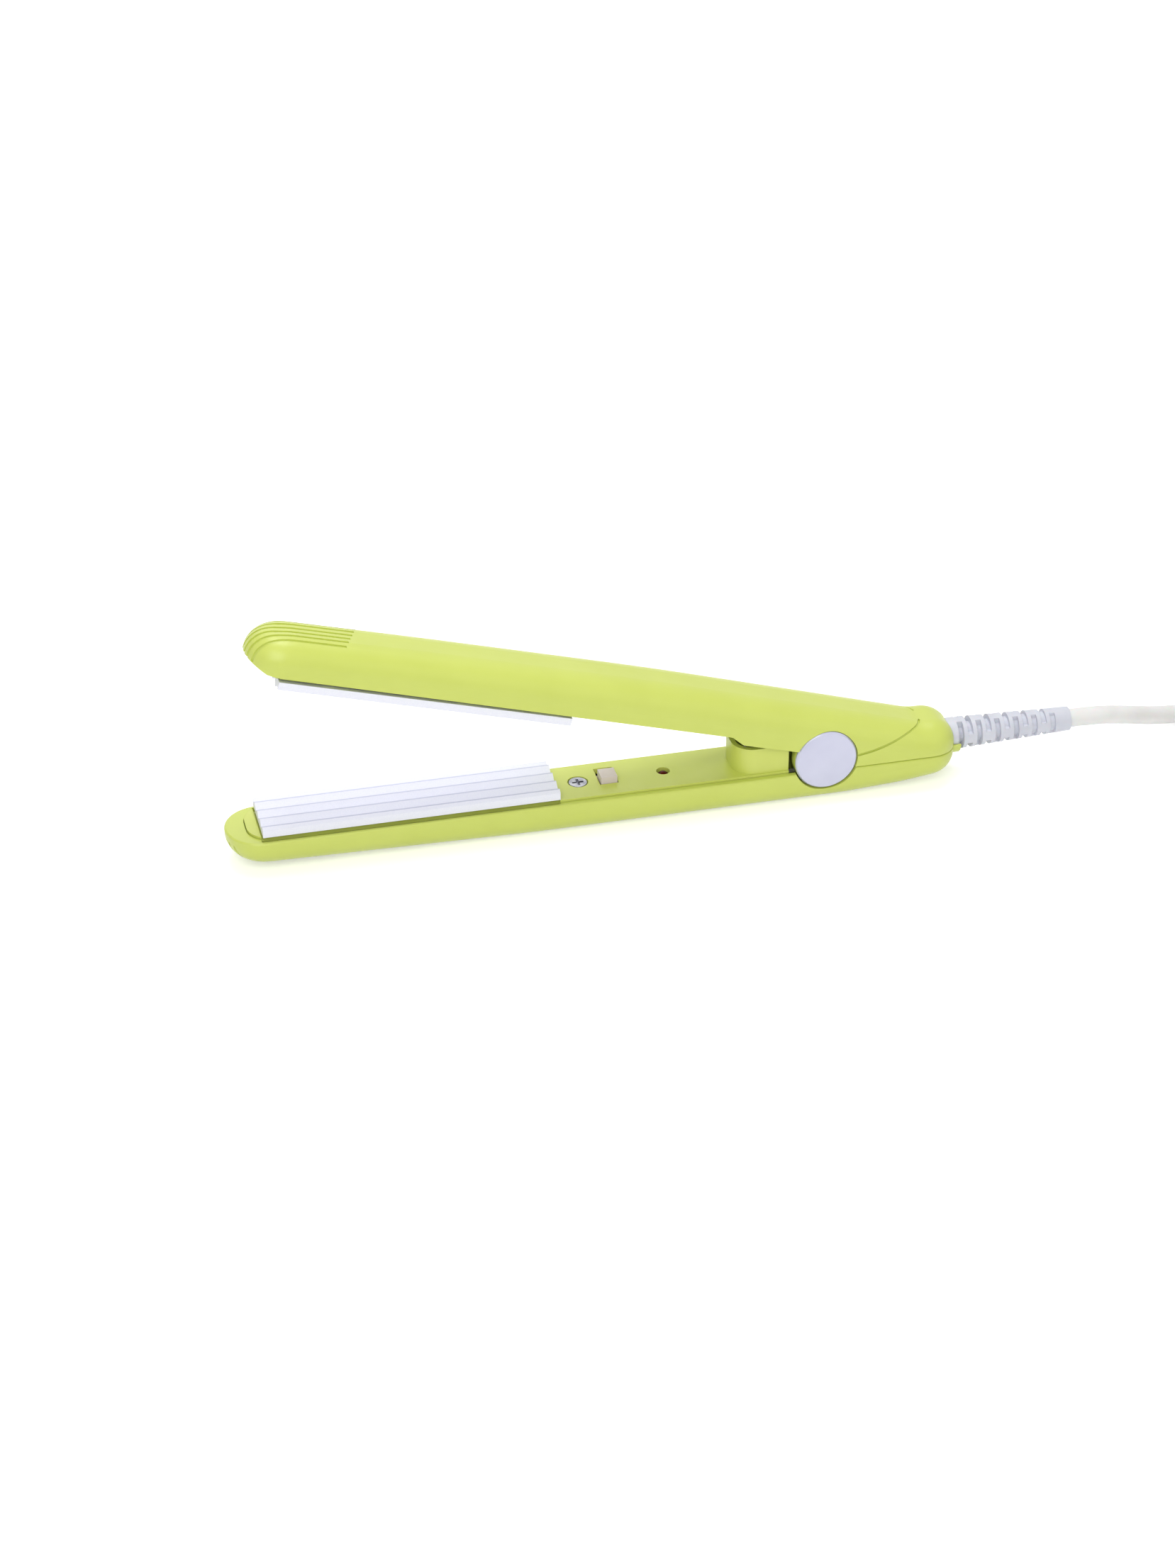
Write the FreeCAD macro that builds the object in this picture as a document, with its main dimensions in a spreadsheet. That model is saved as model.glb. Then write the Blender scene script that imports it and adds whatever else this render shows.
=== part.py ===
import FreeCAD, Part
import math
import os
import Sketcher
from FreeCAD import Placement, Rotation, Vector

# Small hand-held hair crimper, open as it lies on its back.
# Two arms pivot on a cross pin. The lower arm carries the switch, the lamp and the cord.
# Row frame: X runs from the jaw tip (-X) to the cord (+X), Y across, Z up, and the origin is
# on the flat of the lower arm's back, right below the hinge axis.
# Arm frame, used for the pieces of both arms: the hinge axis is Y through the origin, the
# closed jaw's middle plane is z = 0, and +z points to the back of the arm. An upper piece is
# turned open about Y, and a lower piece is turned half round about X.

doc = FreeCAD.newDocument("hair_crimper")

SIZES = (
    ("open_angle", 15.7, "opening between the arms at rest, in degrees"),
    ("tip_reach", 142.2, "hinge axis to the tip of an arm"),
    ("tail_reach", 33.5, "hinge axis to the tail end"),
    ("arm_width", 17.2, "outer width of both arms"),
    ("arm_wall", 1.4, "wall of the casings"),
    ("back_round", 6.0, "rounding of the back edges"),
    ("tail_round", 6.6, "rounding of the tail corners in plan"),
    ("rim_drop", 3.0, "middle plane to the rim of a casing"),
    ("rim_round", 0.5, "rounding of the lower casing's rim"),
    ("upper_rim_rise", 0.75, "the upper casing's rim ends this much further away at the tip"),
    ("bow_length", 4.5, "the upper rim rises faster over this last stretch to the tip"),
    ("bow_rise", 1.5, "that faster rise"),
    ("nose_length", 9.0, "the backs fall towards the tip over this length"),
    ("nose_fall", 1.1, "fall of a back at the tip"),
    ("nose_blend", 25.0, "blend radius where that fall starts"),
    ("lower_back", 11.9, "middle plane to the flat of the lower back"),
    ("lower_tip_back", 10.35, "middle plane to the lower back at the tip"),
    ("lower_flat_front", 70.0, "front end of the flat, from the hinge axis"),
    ("lower_flat_rear", 6.0, "rear end of the flat, from the hinge axis"),
    ("lower_bend_place", 20.0, "bend of the lower tail, from the hinge axis"),
    ("lower_bend_back", 11.1, "depth of the lower back at that bend"),
    ("lower_tail_back", 9.4, "depth of the lower back at the tail end"),
    ("front_blend", 400.0, "blend radius at the flat's front end"),
    ("rear_blend", 60.0, "blend radius at the flat's rear end and the lower tail's bend"),
    ("upper_tip_back", 11.75, "middle plane to the upper back at the tip"),
    ("upper_crest_back", 12.1, "the same at the crest"),
    ("upper_crest_front", 100.0, "crest of the upper back, from the hinge axis"),
    ("upper_crest_rear", 45.0, "rear end of the crest"),
    ("crest_blend", 900.0, "blend radius at both ends of the crest"),
    ("saddle_place", 24.0, "dip of the upper tail, from the hinge axis, arms open"),
    ("saddle_height", 4.2, "height of the dip over the hinge axis, arms open"),
    ("saddle_round", 10.0, "blend radius of the dip"),
    ("tail_top", 4.0, "height of the upper tail's end over the hinge axis"),
    ("crease_width", 0.45, "width of the crease on each shoulder of the upper tail"),
    ("seam_gap", 0.3, "gap of the seam between the two tails"),
    ("skirt_front", 25.0, "front of the upper arm's skirt, from the hinge axis"),
    ("skirt_step", 3.3, "length of the curved step to the skirt"),
    ("skirt_drop", 1.3, "middle plane to the skirt's edge"),
    ("nose_rim", 4.9, "width of the rim band round the tip"),
    ("nose_round", 5.5, "corner radius of the inner cover's front"),
    ("cover_gap", 0.15, "gap round the inner covers"),
    ("cover_face", 2.4, "middle plane to the face of an inner cover"),
    ("cover_thick", 1.4, "thickness of the inner covers"),
    ("lower_cover_end", 8.8, "rear end of the lower cover, from the hinge axis"),
    ("upper_cover_end", 25.5, "rear end of the upper cover"),
    ("groove_count", 6, "grip grooves on each tip"),
    ("groove_pitch", 1.8, "pitch of the grip grooves"),
    ("groove_width", 0.7, "width of a grip groove"),
    ("groove_depth", 0.35, "depth of a grip groove"),
    ("groove_end", 118.5, "mean rear end of the grooves, from the hinge axis"),
    ("groove_stagger", 0.75, "each groove ends this much sooner than the next"),
    ("groove_foot", 5.0, "the grooves start this far from the middle plane"),
    ("plate_tip_gap", 7.9, "tip of an arm to the front end of its plate"),
    ("plate_rear", 64.3, "rear end of the plates, from the hinge axis"),
    ("plate_width", 14.7, "width of a crimping plate"),
    ("ridge_count", 4, "ridges on a plate"),
    ("ridge_height", 1.1, "crest to valley of the ridges"),
    ("ridge_flat", 0.35, "flat on each crest and valley"),
    ("hair_gap", 0.4, "gap between the plates when closed"),
    ("plate_lift", 0.3, "gap between a plate and its cover, filled by the pads"),
    ("plate_clear", 0.3, "open gap round a plate's long sides and its front end"),
    ("plate_clear_depth", 1.2, "depth of that gap in the rim"),
    ("plate_groove_depth", 0.9, "depth of that gap in the cover at a plate's front end"),
    ("plate_undercut", 1.0, "a cover's long sides lie this far back under its plate"),
    ("leg_inset", 4.0, "end of a plate to its two legs"),
    ("leg_inner", 3.9, "middle of the plate to a leg's inner side"),
    ("leg_thick", 1.0, "thickness of a leg"),
    ("leg_depth", 3.95, "depth of a leg behind the plate"),
    ("lip_thick", 0.6, "thickness of the lip at a leg's end"),
    ("heater_inset", 3.0, "end of the legs to the heater's end"),
    ("heater_width", 6.6, "width of a heater"),
    ("heater_thick", 2.4, "thickness of a heater"),
    ("film_thick", 0.2, "thickness of the insulating film"),
    ("clip_inset", 3.0, "end of a heater to its clip's end"),
    ("clip_thick", 0.5, "thickness of a heater clip"),
    ("clip_play", 0.05, "play of the clip between the legs and their lips"),
    ("window_play", 0.4, "play of the legs in the cover's window"),
    ("window_end_play", 1.0, "play of the legs at the window's ends"),
    ("pad_width", 8.0, "width of a plate pad"),
    ("pad_length", 2.2, "length of a plate pad"),
    ("plate_screw_inset", 1.5, "end of a plate to its screw"),
    ("plate_screw_radius", 0.7, "shank radius of a plate screw"),
    ("plate_screw_depth", 1.0, "depth of a plate screw in the plate"),
    ("plate_screw_head", 1.2, "head radius of a plate screw"),
    ("plate_screw_head_thick", 0.8, "head thickness of a plate screw"),
    ("cover_screw_place", 58.4, "cover screw, from the hinge axis"),
    ("cover_screw_head", 2.15, "head radius of a cover screw"),
    ("cover_screw_head_thick", 0.8, "head thickness of a cover screw"),
    ("cover_screw_radius", 1.1, "shank radius of a cover screw"),
    ("cover_screw_reach", 5.0, "length of the shank under the cover"),
    ("screw_play", 0.05, "radial play of a screw"),
    ("screw_sink", 0.1, "a cover screw's head lies this deep"),
    ("screw_head_gap", 0.3, "gap round a cover screw's head in its recess"),
    ("cross_width", 0.6, "width of a screw's cross recess"),
    ("cross_length", 2.7, "length of a screw's cross recess"),
    ("cross_depth", 0.6, "depth of a screw's cross recess"),
    ("boss_radius", 2.6, "radius of a screw boss"),
    ("ledge_tip", 122.0, "first pair of cover ledges, from the hinge axis"),
    ("ledge_front", 90.0, "second pair of cover ledges"),
    ("ledge_middle", 70.5, "third pair of cover ledges"),
    ("ledge_lamp", 42.0, "fourth pair of cover ledges"),
    ("ledge_rear", 28.5, "fifth pair of cover ledges"),
    ("ledge_end", 14.0, "last pair, in the lower casing alone"),
    ("ledge_length", 5.0, "length of a cover ledge"),
    ("ledge_width", 1.7, "width of a cover ledge"),
    ("ledge_height", 2.2, "height of a cover ledge"),
    ("hinge_pin_radius", 1.5, "radius of the hinge pin"),
    ("pin_play", 0.05, "radial play of the hinge pin"),
    ("pin_half", 6.4, "half the length of the hinge pin"),
    ("cheek_radius", 7.6, "radius of the upper arm's hinge cheeks"),
    ("cheek_inner", 5.0, "middle to a cheek's inner face"),
    ("cheek_outer", 7.6, "middle to a cheek's outer face"),
    ("cheek_play", 0.3, "gap between a cheek and the lower casing"),
    ("cap_radius", 7.55, "radius of a hinge cap"),
    ("cap_thick", 0.85, "thickness of a hinge cap"),
    ("cap_bevel", 0.35, "bevel of a hinge cap"),
    ("cap_play", 0.15, "gap round a hinge cap"),
    ("stub_radius", 3.0, "radius of a cap's stub"),
    ("stub_length", 1.0, "length of a cap's stub"),
    ("stub_play", 0.05, "radial play of a cap's stub"),
    ("ear_inner", 2.9, "middle to an ear's inner face"),
    ("ear_outer", 4.6, "middle to an ear's outer face"),
    ("ear_radius", 4.6, "radius of the lower casing's hinge ears"),
    ("washer_radius", 3.2, "radius of a hinge washer"),
    ("washer_thick", 0.3, "thickness of a hinge washer"),
    ("collar_front", 21.7, "front of the spring collar, from the hinge axis"),
    ("collar_half", 6.6, "half the width of the collar"),
    ("collar_round", 5.0, "front corner radius of the collar"),
    ("collar_wall", 1.2, "wall of the collar"),
    ("collar_top", 4.3, "height of the collar over the hinge axis"),
    ("spring_place", 15.2, "spring axis, from the hinge axis"),
    ("spring_radius", 2.95, "outer radius of the spring"),
    ("spring_wall", 0.7, "thickness of the spring's wire"),
    ("spring_foot", 8.9, "middle plane to the spring's lower seat"),
    ("spring_head", 4.6, "hinge axis up to the spring's upper seat, arms open"),
    ("spring_play", 0.03, "gap at each end of the spring"),
    ("seat_radius", 3.1, "radius of the spring seats"),
    ("post_radius", 1.8, "radius of the post inside the spring"),
    ("post_height", 1.6, "height of that post"),
    ("slot_front", 53.6, "front of the switch slot, from the hinge axis"),
    ("slot_rear", 49.1, "rear of the switch slot"),
    ("slot_near", 2.5, "middle to the slot's near end"),
    ("slot_far", 4.7, "middle to the slot's far end"),
    ("button_play", 0.12, "gap at the switch button's ends in its slot"),
    ("button_side_play", 0.3, "gap at the switch button's sides in its slot"),
    ("button_length", 4.0, "length of the switch button along its travel"),
    ("button_rise", 1.7, "switch button's height over the cover"),
    ("button_flange", 1.0, "overlap of the button's flange under the cover"),
    ("button_flange_reach", 2.2, "flange beyond the button, along the travel"),
    ("button_flange_thick", 0.6, "thickness of the button's flange"),
    ("slide_play", 0.1, "gap above and below the button's flange"),
    ("switch_length", 9.6, "length of the switch"),
    ("switch_width", 5.2, "width of the switch"),
    ("switch_depth", 3.5, "depth of the switch"),
    ("peg_length", 1.8, "length of the button's peg"),
    ("peg_width", 1.5, "width of the button's peg"),
    ("peg_depth", 1.2, "depth of the button's peg in the switch"),
    ("terminal_pitch", 2.2, "pitch of the switch terminals"),
    ("terminal_length", 1.4, "length of a switch terminal"),
    ("terminal_width", 1.2, "width of a switch terminal"),
    ("terminal_thick", 0.4, "thickness of a switch terminal"),
    ("lamp_place", 37.7, "indicator lamp, from the hinge axis"),
    ("lamp_radius", 1.45, "radius of the lamp"),
    ("lamp_play", 0.15, "gap round the lamp"),
    ("lamp_sink", 0.15, "the lamp's dome lies this deep"),
    ("lamp_flange", 1.9, "radius of the lamp's flange"),
    ("lamp_length", 3.4, "length of the lamp"),
    ("board_front", 43.0, "front of the lamp board, from the hinge axis"),
    ("board_rear", 31.0, "rear of the lamp board"),
    ("board_half", 4.0, "half the width of the lamp board"),
    ("board_thick", 1.0, "thickness of the lamp board"),
    ("rib_thick", 1.0, "thickness of the board ribs"),
    ("resistor_radius", 0.8, "radius of the resistor"),
    ("resistor_length", 3.2, "length of the resistor"),
    ("fuse_radius", 1.1, "radius of the thermal fuse"),
    ("fuse_length", 9.0, "length of the thermal fuse"),
    ("fuse_front", 64.5, "front of the thermal fuse, from the hinge axis"),
    ("fuse_side", 5.2, "middle to the thermal fuse"),
    ("fuse_depth", 6.2, "middle plane to the thermal fuse"),
    ("lead_radius", 0.5, "radius of the inner leads"),
    ("cord_axis", 2.2, "middle plane down to the cord's axis"),
    ("cord_radius", 2.25, "radius of the cord"),
    ("cord_end", 17.0, "inner end of the cord, from the hinge axis"),
    ("clamp_place", 21.5, "cord clamp, from the hinge axis"),
    ("clamp_length", 4.0, "length of the cord clamp"),
    ("clamp_thick", 0.7, "thickness of the cord clamp"),
    ("clamp_half", 5.9, "half the width of the cord clamp"),
    ("clamp_screw_side", 4.3, "middle to a clamp screw"),
    ("clamp_screw_radius", 0.8, "shank radius of a clamp screw"),
    ("clamp_screw_head", 1.3, "head radius of a clamp screw"),
    ("clamp_screw_head_thick", 0.5, "head thickness of a clamp screw"),
    ("clamp_screw_reach", 4.0, "length of a clamp screw's shank"),
    ("clamp_boss", 1.6, "radius of a clamp screw boss"),
    ("relief_radius", 3.9, "radius of the strain relief at the casing"),
    ("relief_tip_radius", 2.9, "radius of the strain relief's tip"),
    ("relief_length", 30.0, "strain relief outside the casing"),
    ("relief_flange", 4.3, "radius of the strain relief's inner flange"),
    ("relief_seat", 1.4, "end wall to that flange"),
    ("relief_flange_thick", 2.0, "thickness of that flange"),
    ("relief_rings", 11, "gaps between the strain relief's segments"),
    ("relief_first", 1.1, "tail end to the first gap"),
    ("relief_ring_pitch", 2.35, "pitch of those gaps"),
    ("relief_ring_width", 1.35, "width of a gap"),
    ("relief_bridge", 2.4, "width of the two webs left in a gap, upright and level by turns"),
    ("relief_core", 2.45, "radius of the strain relief in the gaps"),
    ("relief_play", 0.1, "gap round the strain relief in the lower casing"),
    ("relief_clear", 0.4, "gap round the strain relief in the upper tail"),
    ("lip_length", 1.5, "length of the lower tail's lip"),
    ("lip_wall", 0.6, "wall of the lower tail's lip"),
    ("floor_gap", 0.05, "the cord clears the table by this much"),
    ("coil_lift", 0.7, "the coiled hank lies on its tie, this high"),
    ("coil_skin", 0.1, "the hank's solid stands proud of the cord this much"),
    ("coil_fold", 18.2, "radius of the hank's outer fold at the cord's middle"),
    ("coil_run", 66.0, "length of the runs between the hank's folds"),
    ("coil_pitch", 4.7, "pitch of the hank's layers"),
    ("coil_layers", 4, "layers of the hank"),
    ("coil_waist", 2.5, "the hank is drawn in this much on each side at its tie"),
    ("coil_waist_round", 60.0, "plan radius of the drawn-in waist"),
    ("coil_stub", 14.0, "the cord runs straight beside the hank this far"),
    ("tie_width", 6.0, "width of the hank's tie"),
    ("tie_thick", 0.5, "thickness of the hank's tie"),
    ("tie_gap", 0.08, "gap between the hank and its tie"),
    ("plug_width", 35.0, "width of the plug"),
    ("plug_thick", 13.7, "thickness of the plug"),
    ("plug_length", 36.0, "length of the plug's body"),
    ("plug_neck", 10.0, "width of the plug's neck"),
    ("plug_neck_length", 8.0, "length of the plug's neck"),
    ("plug_neck_tip", 3.2, "radius of the neck where the cord enters"),
    ("plug_neck_root", 4.7, "radius of the neck at the plug's body"),
    ("plug_waist_share", 0.35, "share of the body's length to its waist"),
    ("plug_waist_swell", 1.5, "swelling of the waist on each side"),
    ("plug_shoulder_share", 0.3, "share of the body's length from shoulder to face"),
    ("plug_waist_round", 8.0, "plan rounding of the waist"),
    ("plug_shoulder_round", 6.0, "plan rounding of the shoulders"),
    ("plug_round", 2.5, "rounding of the plug's other edges"),
    ("plug_overlap", 0.5, "the neck and the sleeves reach this far into the body"),
    ("plug_pin_round", 1.2, "rounding of a pin's tip"),
    ("plug_pin_pitch", 18.6, "pitch of the plug's pins at the body"),
    ("plug_pin_radius", 2.0, "radius of a plug pin"),
    ("plug_sleeve_radius", 1.9, "radius of a pin's sleeve"),
    ("plug_sleeve_length", 10.0, "length of a pin's sleeve"),
    ("plug_pin_length", 9.0, "length of a pin's bare end"),
)

# The crease on the upper tail's near shoulder, arms open: along from the tail's end, in from
# the arm's side, and the height over the hinge axis.
CREASE = (
    (-25.6, 0.0, 0.46), (-23.9, 0.0, 0.74), (-22.2, 0.0, 1.06), (-20.7, 0.0, 1.48),
    (-19.2, 0.08, 1.92), (-17.7, 0.28, 2.36), (-16.1, 0.65, 2.79), (-13.9, 1.47, 3.38),
    (-11.8, 2.61, 3.8), (-10.1, 3.96, 4.05), (-9.3, 5.1, 4.2), (-8.8, 6.25, 4.21),
)
# Inner leads and the free cord, as points chosen by hand.
SUPPLY_LIVE = (
    (17.0, -1.2, 2.2), (14.5, -1.2, 2.2), (10.5, -1.3, 3.9), (4.5, -1.6, 6.6),
    (-5.6, -2.0, 8.4), (-10.5, -4.4, 9.1), (-25.0, -4.8, 9.1), (-43.5, -4.2, 9.3),
    (-46.6, -1.6, 9.1), (-49.0, -1.1, 9.0), (-51.15, -1.1, 9.0),
)
SUPPLY_NEUTRAL = (
    (17.0, 1.2, 2.2), (14.5, 1.2, 2.2), (10.5, 1.3, 3.9), (4.5, 1.6, 6.6),
    (-5.6, 2.0, 8.4), (-10.5, 4.4, 9.0), (-24.0, 4.8, 8.6), (-37.0, 5.8, 7.5),
    (-46.0, 6.2, 7.0), (-50.5, 5.9, 6.7), (-53.2, 5.2, 6.2), (-55.5, 5.2, 6.2),
)
# The heater leads' points are measured along from the heater's rear end.
LOWER_HEATER_TO_FUSE = (
    (0.0, 1.8, 3.5), (1.5, 1.8, 3.5), (3.7, 3.2, 5.2), (5.2, 5.2, 6.2), (6.8, 5.2, 6.2),
)
LOWER_HEATER_TO_SWITCH = (
    (0.0, -1.8, 3.5), (1.5, -1.8, 3.5), (4.7, -3.3, 5.8), (9.3, -4.5, 7.7),
    (14.3, -4.1, 8.8), (17.5, -3.3, 9.0), (19.75, -3.3, 9.0),
)
JUMPERS = (
    (-7.8, 3.2, 7.5), (-9.8, 4.2, 6.0), (-12.1, 4.5, 3.2), (-12.3, 4.4, -2.6),
)
UPPER_HEATER_LEAD = (
    (0.0, 1.8, 3.5), (1.5, 1.8, 3.5), (5.3, 3.4, 6.4), (14.3, 4.7, 8.4),
    (29.3, 4.9, 8.7), (42.3, 4.7, 8.4), (48.8, 4.5, 6.6), (50.5, 4.4, 4.9),
)
# The free cord, from the strain relief's tip to the hank: along, across, and the height over
# the hank's lowest layer as a share of the exit's height over it.
CORD_LEAD = (
    (0.0, 0.0, 1.0), (7.0, 0.0, 1.0), (14.3, 1.0, 0.78), (24.5, 4.9, 0.18), (31.7, 6.2, 0.0),
    (38.7, 6.2, 0.0),
)
# From the hank to the plug: along, across, and the share of the top layer's height over
# the plug's.
CORD_TAIL = (
    (0.0, 0.0, 1.0), (7.0, 0.0, 1.0), (14.1, -0.4, 0.8), (23.8, -2.4, 0.2), (30.8, -4.3, 0.0),
    (37.4, -6.5, 0.0),
)


class Size(float):
    """A number from the sheet that also carries the formula it came from."""

    def __new__(cls, value, formula):
        size = super().__new__(cls, value)
        size.formula = formula
        return size

    def __add__(self, other):
        return Size(float(self) + float(other), f"({formula(self)} + {formula(other)})")

    def __radd__(self, other):
        return Size(float(other) + float(self), f"({formula(other)} + {formula(self)})")

    def __sub__(self, other):
        return Size(float(self) - float(other), f"({formula(self)} - {formula(other)})")

    def __rsub__(self, other):
        return Size(float(other) - float(self), f"({formula(other)} - {formula(self)})")

    def __mul__(self, other):
        return Size(float(self) * float(other), f"({formula(self)} * {formula(other)})")

    def __rmul__(self, other):
        return Size(float(other) * float(self), f"({formula(other)} * {formula(self)})")

    def __truediv__(self, other):
        return Size(float(self) / float(other), f"({formula(self)} / {formula(other)})")

    def __neg__(self):
        return Size(-float(self), f"(-{formula(self)})")


def formula(value):
    """The text that ties a property to this value."""
    if isinstance(value, Size):
        return value.formula
    return repr(float(value))


class Sizes:
    """Each driving size of the sheet, by its alias."""


def fill_sheet():
    """Write the driving sizes to a spreadsheet and give them back by name."""
    sheet = doc.addObject("Spreadsheet::Sheet", "Sizes")
    sizes = Sizes()
    for row, (alias, value, note) in enumerate(SIZES, 1):
        sheet.set(f"A{row}", alias)
        sheet.set(f"B{row}", str(value))
        sheet.set(f"C{row}", note)
        sheet.setAlias(f"B{row}", alias)
    doc.recompute()
    for alias, value, note in SIZES:
        setattr(sizes, alias, Size(getattr(sheet, alias), f"Sizes.{alias}"))
    return sizes


S = fill_sheet()
HALF = S.arm_width / 2
OPEN = math.radians(S.open_angle)
COVER_BACK = S.cover_face + S.cover_thick
PLATE_BACK = S.cover_face - S.plate_lift
PLATE_FRONT = S.tip_reach - S.plate_tip_gap
LEG_SPAN = (S.leg_inset - PLATE_FRONT, -S.plate_rear - S.leg_inset)
HEATER_SPAN = (LEG_SPAN[0] + S.heater_inset, LEG_SPAN[1] - S.heater_inset)
CLIP_SPAN = (HEATER_SPAN[0] + S.clip_inset, HEATER_SPAN[1] - S.clip_inset)
LEDGE_PLACES = (S.ledge_tip, S.ledge_front, S.ledge_middle, S.ledge_lamp, S.ledge_rear)
LOWER_FLOOR = S.lower_back - S.arm_wall
BUTTON_MIDDLE = S.slot_near - S.button_play - S.button_length / 2
SLOT_MIDDLE = (S.slot_front + S.slot_rear) / 2
SWITCH_TOP = COVER_BACK + S.slide_play * 2 + S.button_flange_thick
SWITCH_BACK = SWITCH_TOP + S.switch_depth
SWITCH_MIDDLE = (S.slot_near - S.slot_far) / 2
TRAVEL = S.slot_near + S.slot_far - S.button_length - S.button_play * 2
BOARD_FACE = S.cover_face + S.lamp_sink + S.lamp_length
COVER_FRONT = S.tip_reach - S.nose_rim
COVER_HALF = HALF - S.arm_wall - S.cover_gap
CORD_TOP = S.cord_axis - S.cord_radius
RELIEF_BACK = S.tail_reach - S.arm_wall - S.relief_seat - S.relief_flange_thick
# How far outlines run past the ends of an arm, hollows past its rim, and plan views past all.
OVERRUN = 3.0
RIM_OVERCUT = 1.0
FAR = 150.0
SKIRT_ROUND = 2.0
EDGE_TOLERANCE = 0.01
nodes = []


def bind(thing, prop, value):
    """Tie a property to the sheet."""
    thing.setExpression(prop, formula(value))


def box(name, x, y, z):
    """A box between two values on each axis."""
    made = doc.addObject("Part::Box", name)
    for prop, base, (low, high) in zip(("Length", "Width", "Height"), "xyz", (x, y, z)):
        bind(made, prop, high - low)
        bind(made, f"Placement.Base.{base}", low)
    return made


TURNS = {
    "x": Rotation(Vector(0, 1, 0), 90),
    "y": Rotation(Vector(1, 0, 0), -90),
    "z": Rotation(),
}


def cylinder(name, radius, along, span, x=0.0, y=0.0, z=0.0):
    """A cylinder along one axis, from the first to the second value of its span."""
    made = doc.addObject("Part::Cylinder", name)
    made.Placement = Placement(Vector(), TURNS[along])
    start = {"x": x, "y": y, "z": z}
    start[along] = span[0]
    bind(made, "Radius", radius)
    bind(made, "Height", span[1] - span[0])
    for base, value in start.items():
        bind(made, f"Placement.Base.{base}", value)
    return made


def cone(name, radius, other_radius, along, span, x=0.0, y=0.0, z=0.0):
    """A cone along one axis, from the first to the second value of its span."""
    made = doc.addObject("Part::Cone", name)
    made.Placement = Placement(Vector(), TURNS[along])
    start = {"x": x, "y": y, "z": z}
    start[along] = span[0]
    bind(made, "Radius1", radius)
    bind(made, "Radius2", other_radius)
    bind(made, "Height", span[1] - span[0])
    for base, value in start.items():
        bind(made, f"Placement.Base.{base}", value)
    return made


def fuse(name, *things):
    """All these things as one."""
    made = doc.addObject("Part::MultiFuse", name)
    made.Shapes = list(things)
    return made


def common(name, *things):
    """What all these things share."""
    made = doc.addObject("Part::MultiCommon", name)
    made.Shapes = list(things)
    return made


def cut(name, base, *tools):
    """A thing less one or more others."""
    made = doc.addObject("Part::Cut", name)
    made.Base = base
    made.Tool = tools[0] if len(tools) == 1 else fuse(f"{name}_tools", *tools)
    return made


def group(name, *things):
    """Alike solids that stay apart."""
    made = doc.addObject("Part::Compound", name)
    made.Links = list(things)
    return made


def solid(name, shape):
    """A form that only the Part functions can make."""
    made = doc.addObject("Part::Feature", name)
    made.Shape = shape
    return made


PLANES = {"x": "YZ_Plane", "y": "XZ_Plane", "z": "XY_Plane"}


def pad(name, along, corners, span):
    """A body padded from one outline, from the first to the second value of its span."""
    body = doc.addObject("PartDesign::Body", name)
    add_pad(body, name, along, corners, span)
    return body


def add_pad(body, name, along, corners, span):
    """One more pad in a body, its outline tied to the sheet corner by corner."""
    plane = next(item for item in body.Origin.OriginFeatures if item.Role == PLANES[along])
    sketch = body.newObject("Sketcher::SketchObject", f"{name}_outline")
    sketch.AttachmentSupport = [(plane, "")]
    sketch.MapMode = "FlatFace"
    start = -span[1] if along == "y" else span[0]
    bind(sketch, "AttachmentOffset.Base.z", start)
    count = len(corners)
    for here, (u, v) in enumerate(corners):
        ahead = corners[(here + 1) % count]
        line = Part.LineSegment(Vector(u, v, 0), Vector(ahead[0], ahead[1], 0))
        sketch.addGeometry(line)
    for here in range(count):
        sketch.addConstraint(Sketcher.Constraint("Coincident", here, 2, (here + 1) % count, 1))
    for here, corner in enumerate(corners):
        for kind, axis, value in zip(("DistanceX", "DistanceY"), (-2, -1), corner):
            if value == 0:
                sketch.addConstraint(Sketcher.Constraint("PointOnObject", here, 1, axis))
                continue
            rule = Sketcher.Constraint(kind, -1, 1, here, 1, float(value))
            index = sketch.addConstraint(rule)
            bind(sketch, f"Constraints[{index}]", value)
    feature = body.newObject("PartDesign::Pad", f"{name}_pad")
    feature.Profile = sketch
    bind(feature, "Length", span[1] - span[0])
    return feature


def smooth_wire(points, radii, closed):
    """Straight runs joined by tangent arcs, one radius for each point."""
    bends = []
    for here, (point, radius) in enumerate(zip(points, radii)):
        if not radius:
            bends.append((point, None, point))
            continue
        back = (points[here - 1] - point).normalize()
        ahead = (points[(here + 1) % len(points)] - point).normalize()
        half = back.getAngle(ahead) / 2
        reach = radius / math.tan(half)
        towards = (back + ahead).normalize()
        middle = point + towards * (radius / math.sin(half) - radius)
        bends.append((point + back * reach, middle, point + ahead * reach))
    edges = []
    for here, (first, middle, last) in enumerate(bends):
        if middle is not None:
            edges.append(Part.Arc(first, middle, last).toShape())
        if closed or here + 1 < len(bends):
            start = bends[(here + 1) % len(bends)][0]
            if (start - last).Length > 1e-6:
                edges.append(Part.LineSegment(last, start).toShape())
    return Part.Wire(edges)


def bend_radii(points):
    """The widest arc that each turn's two runs allow; none at the two ends."""
    radii = [0.0]
    for before, here, after in zip(points, points[1:], points[2:]):
        turn = (here - before).getAngle(after - here)
        run = min((here - before).Length, (after - here).Length)
        radii.append(0.45 * run / math.tan(turn / 2))
    return radii + [0.0]


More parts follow.
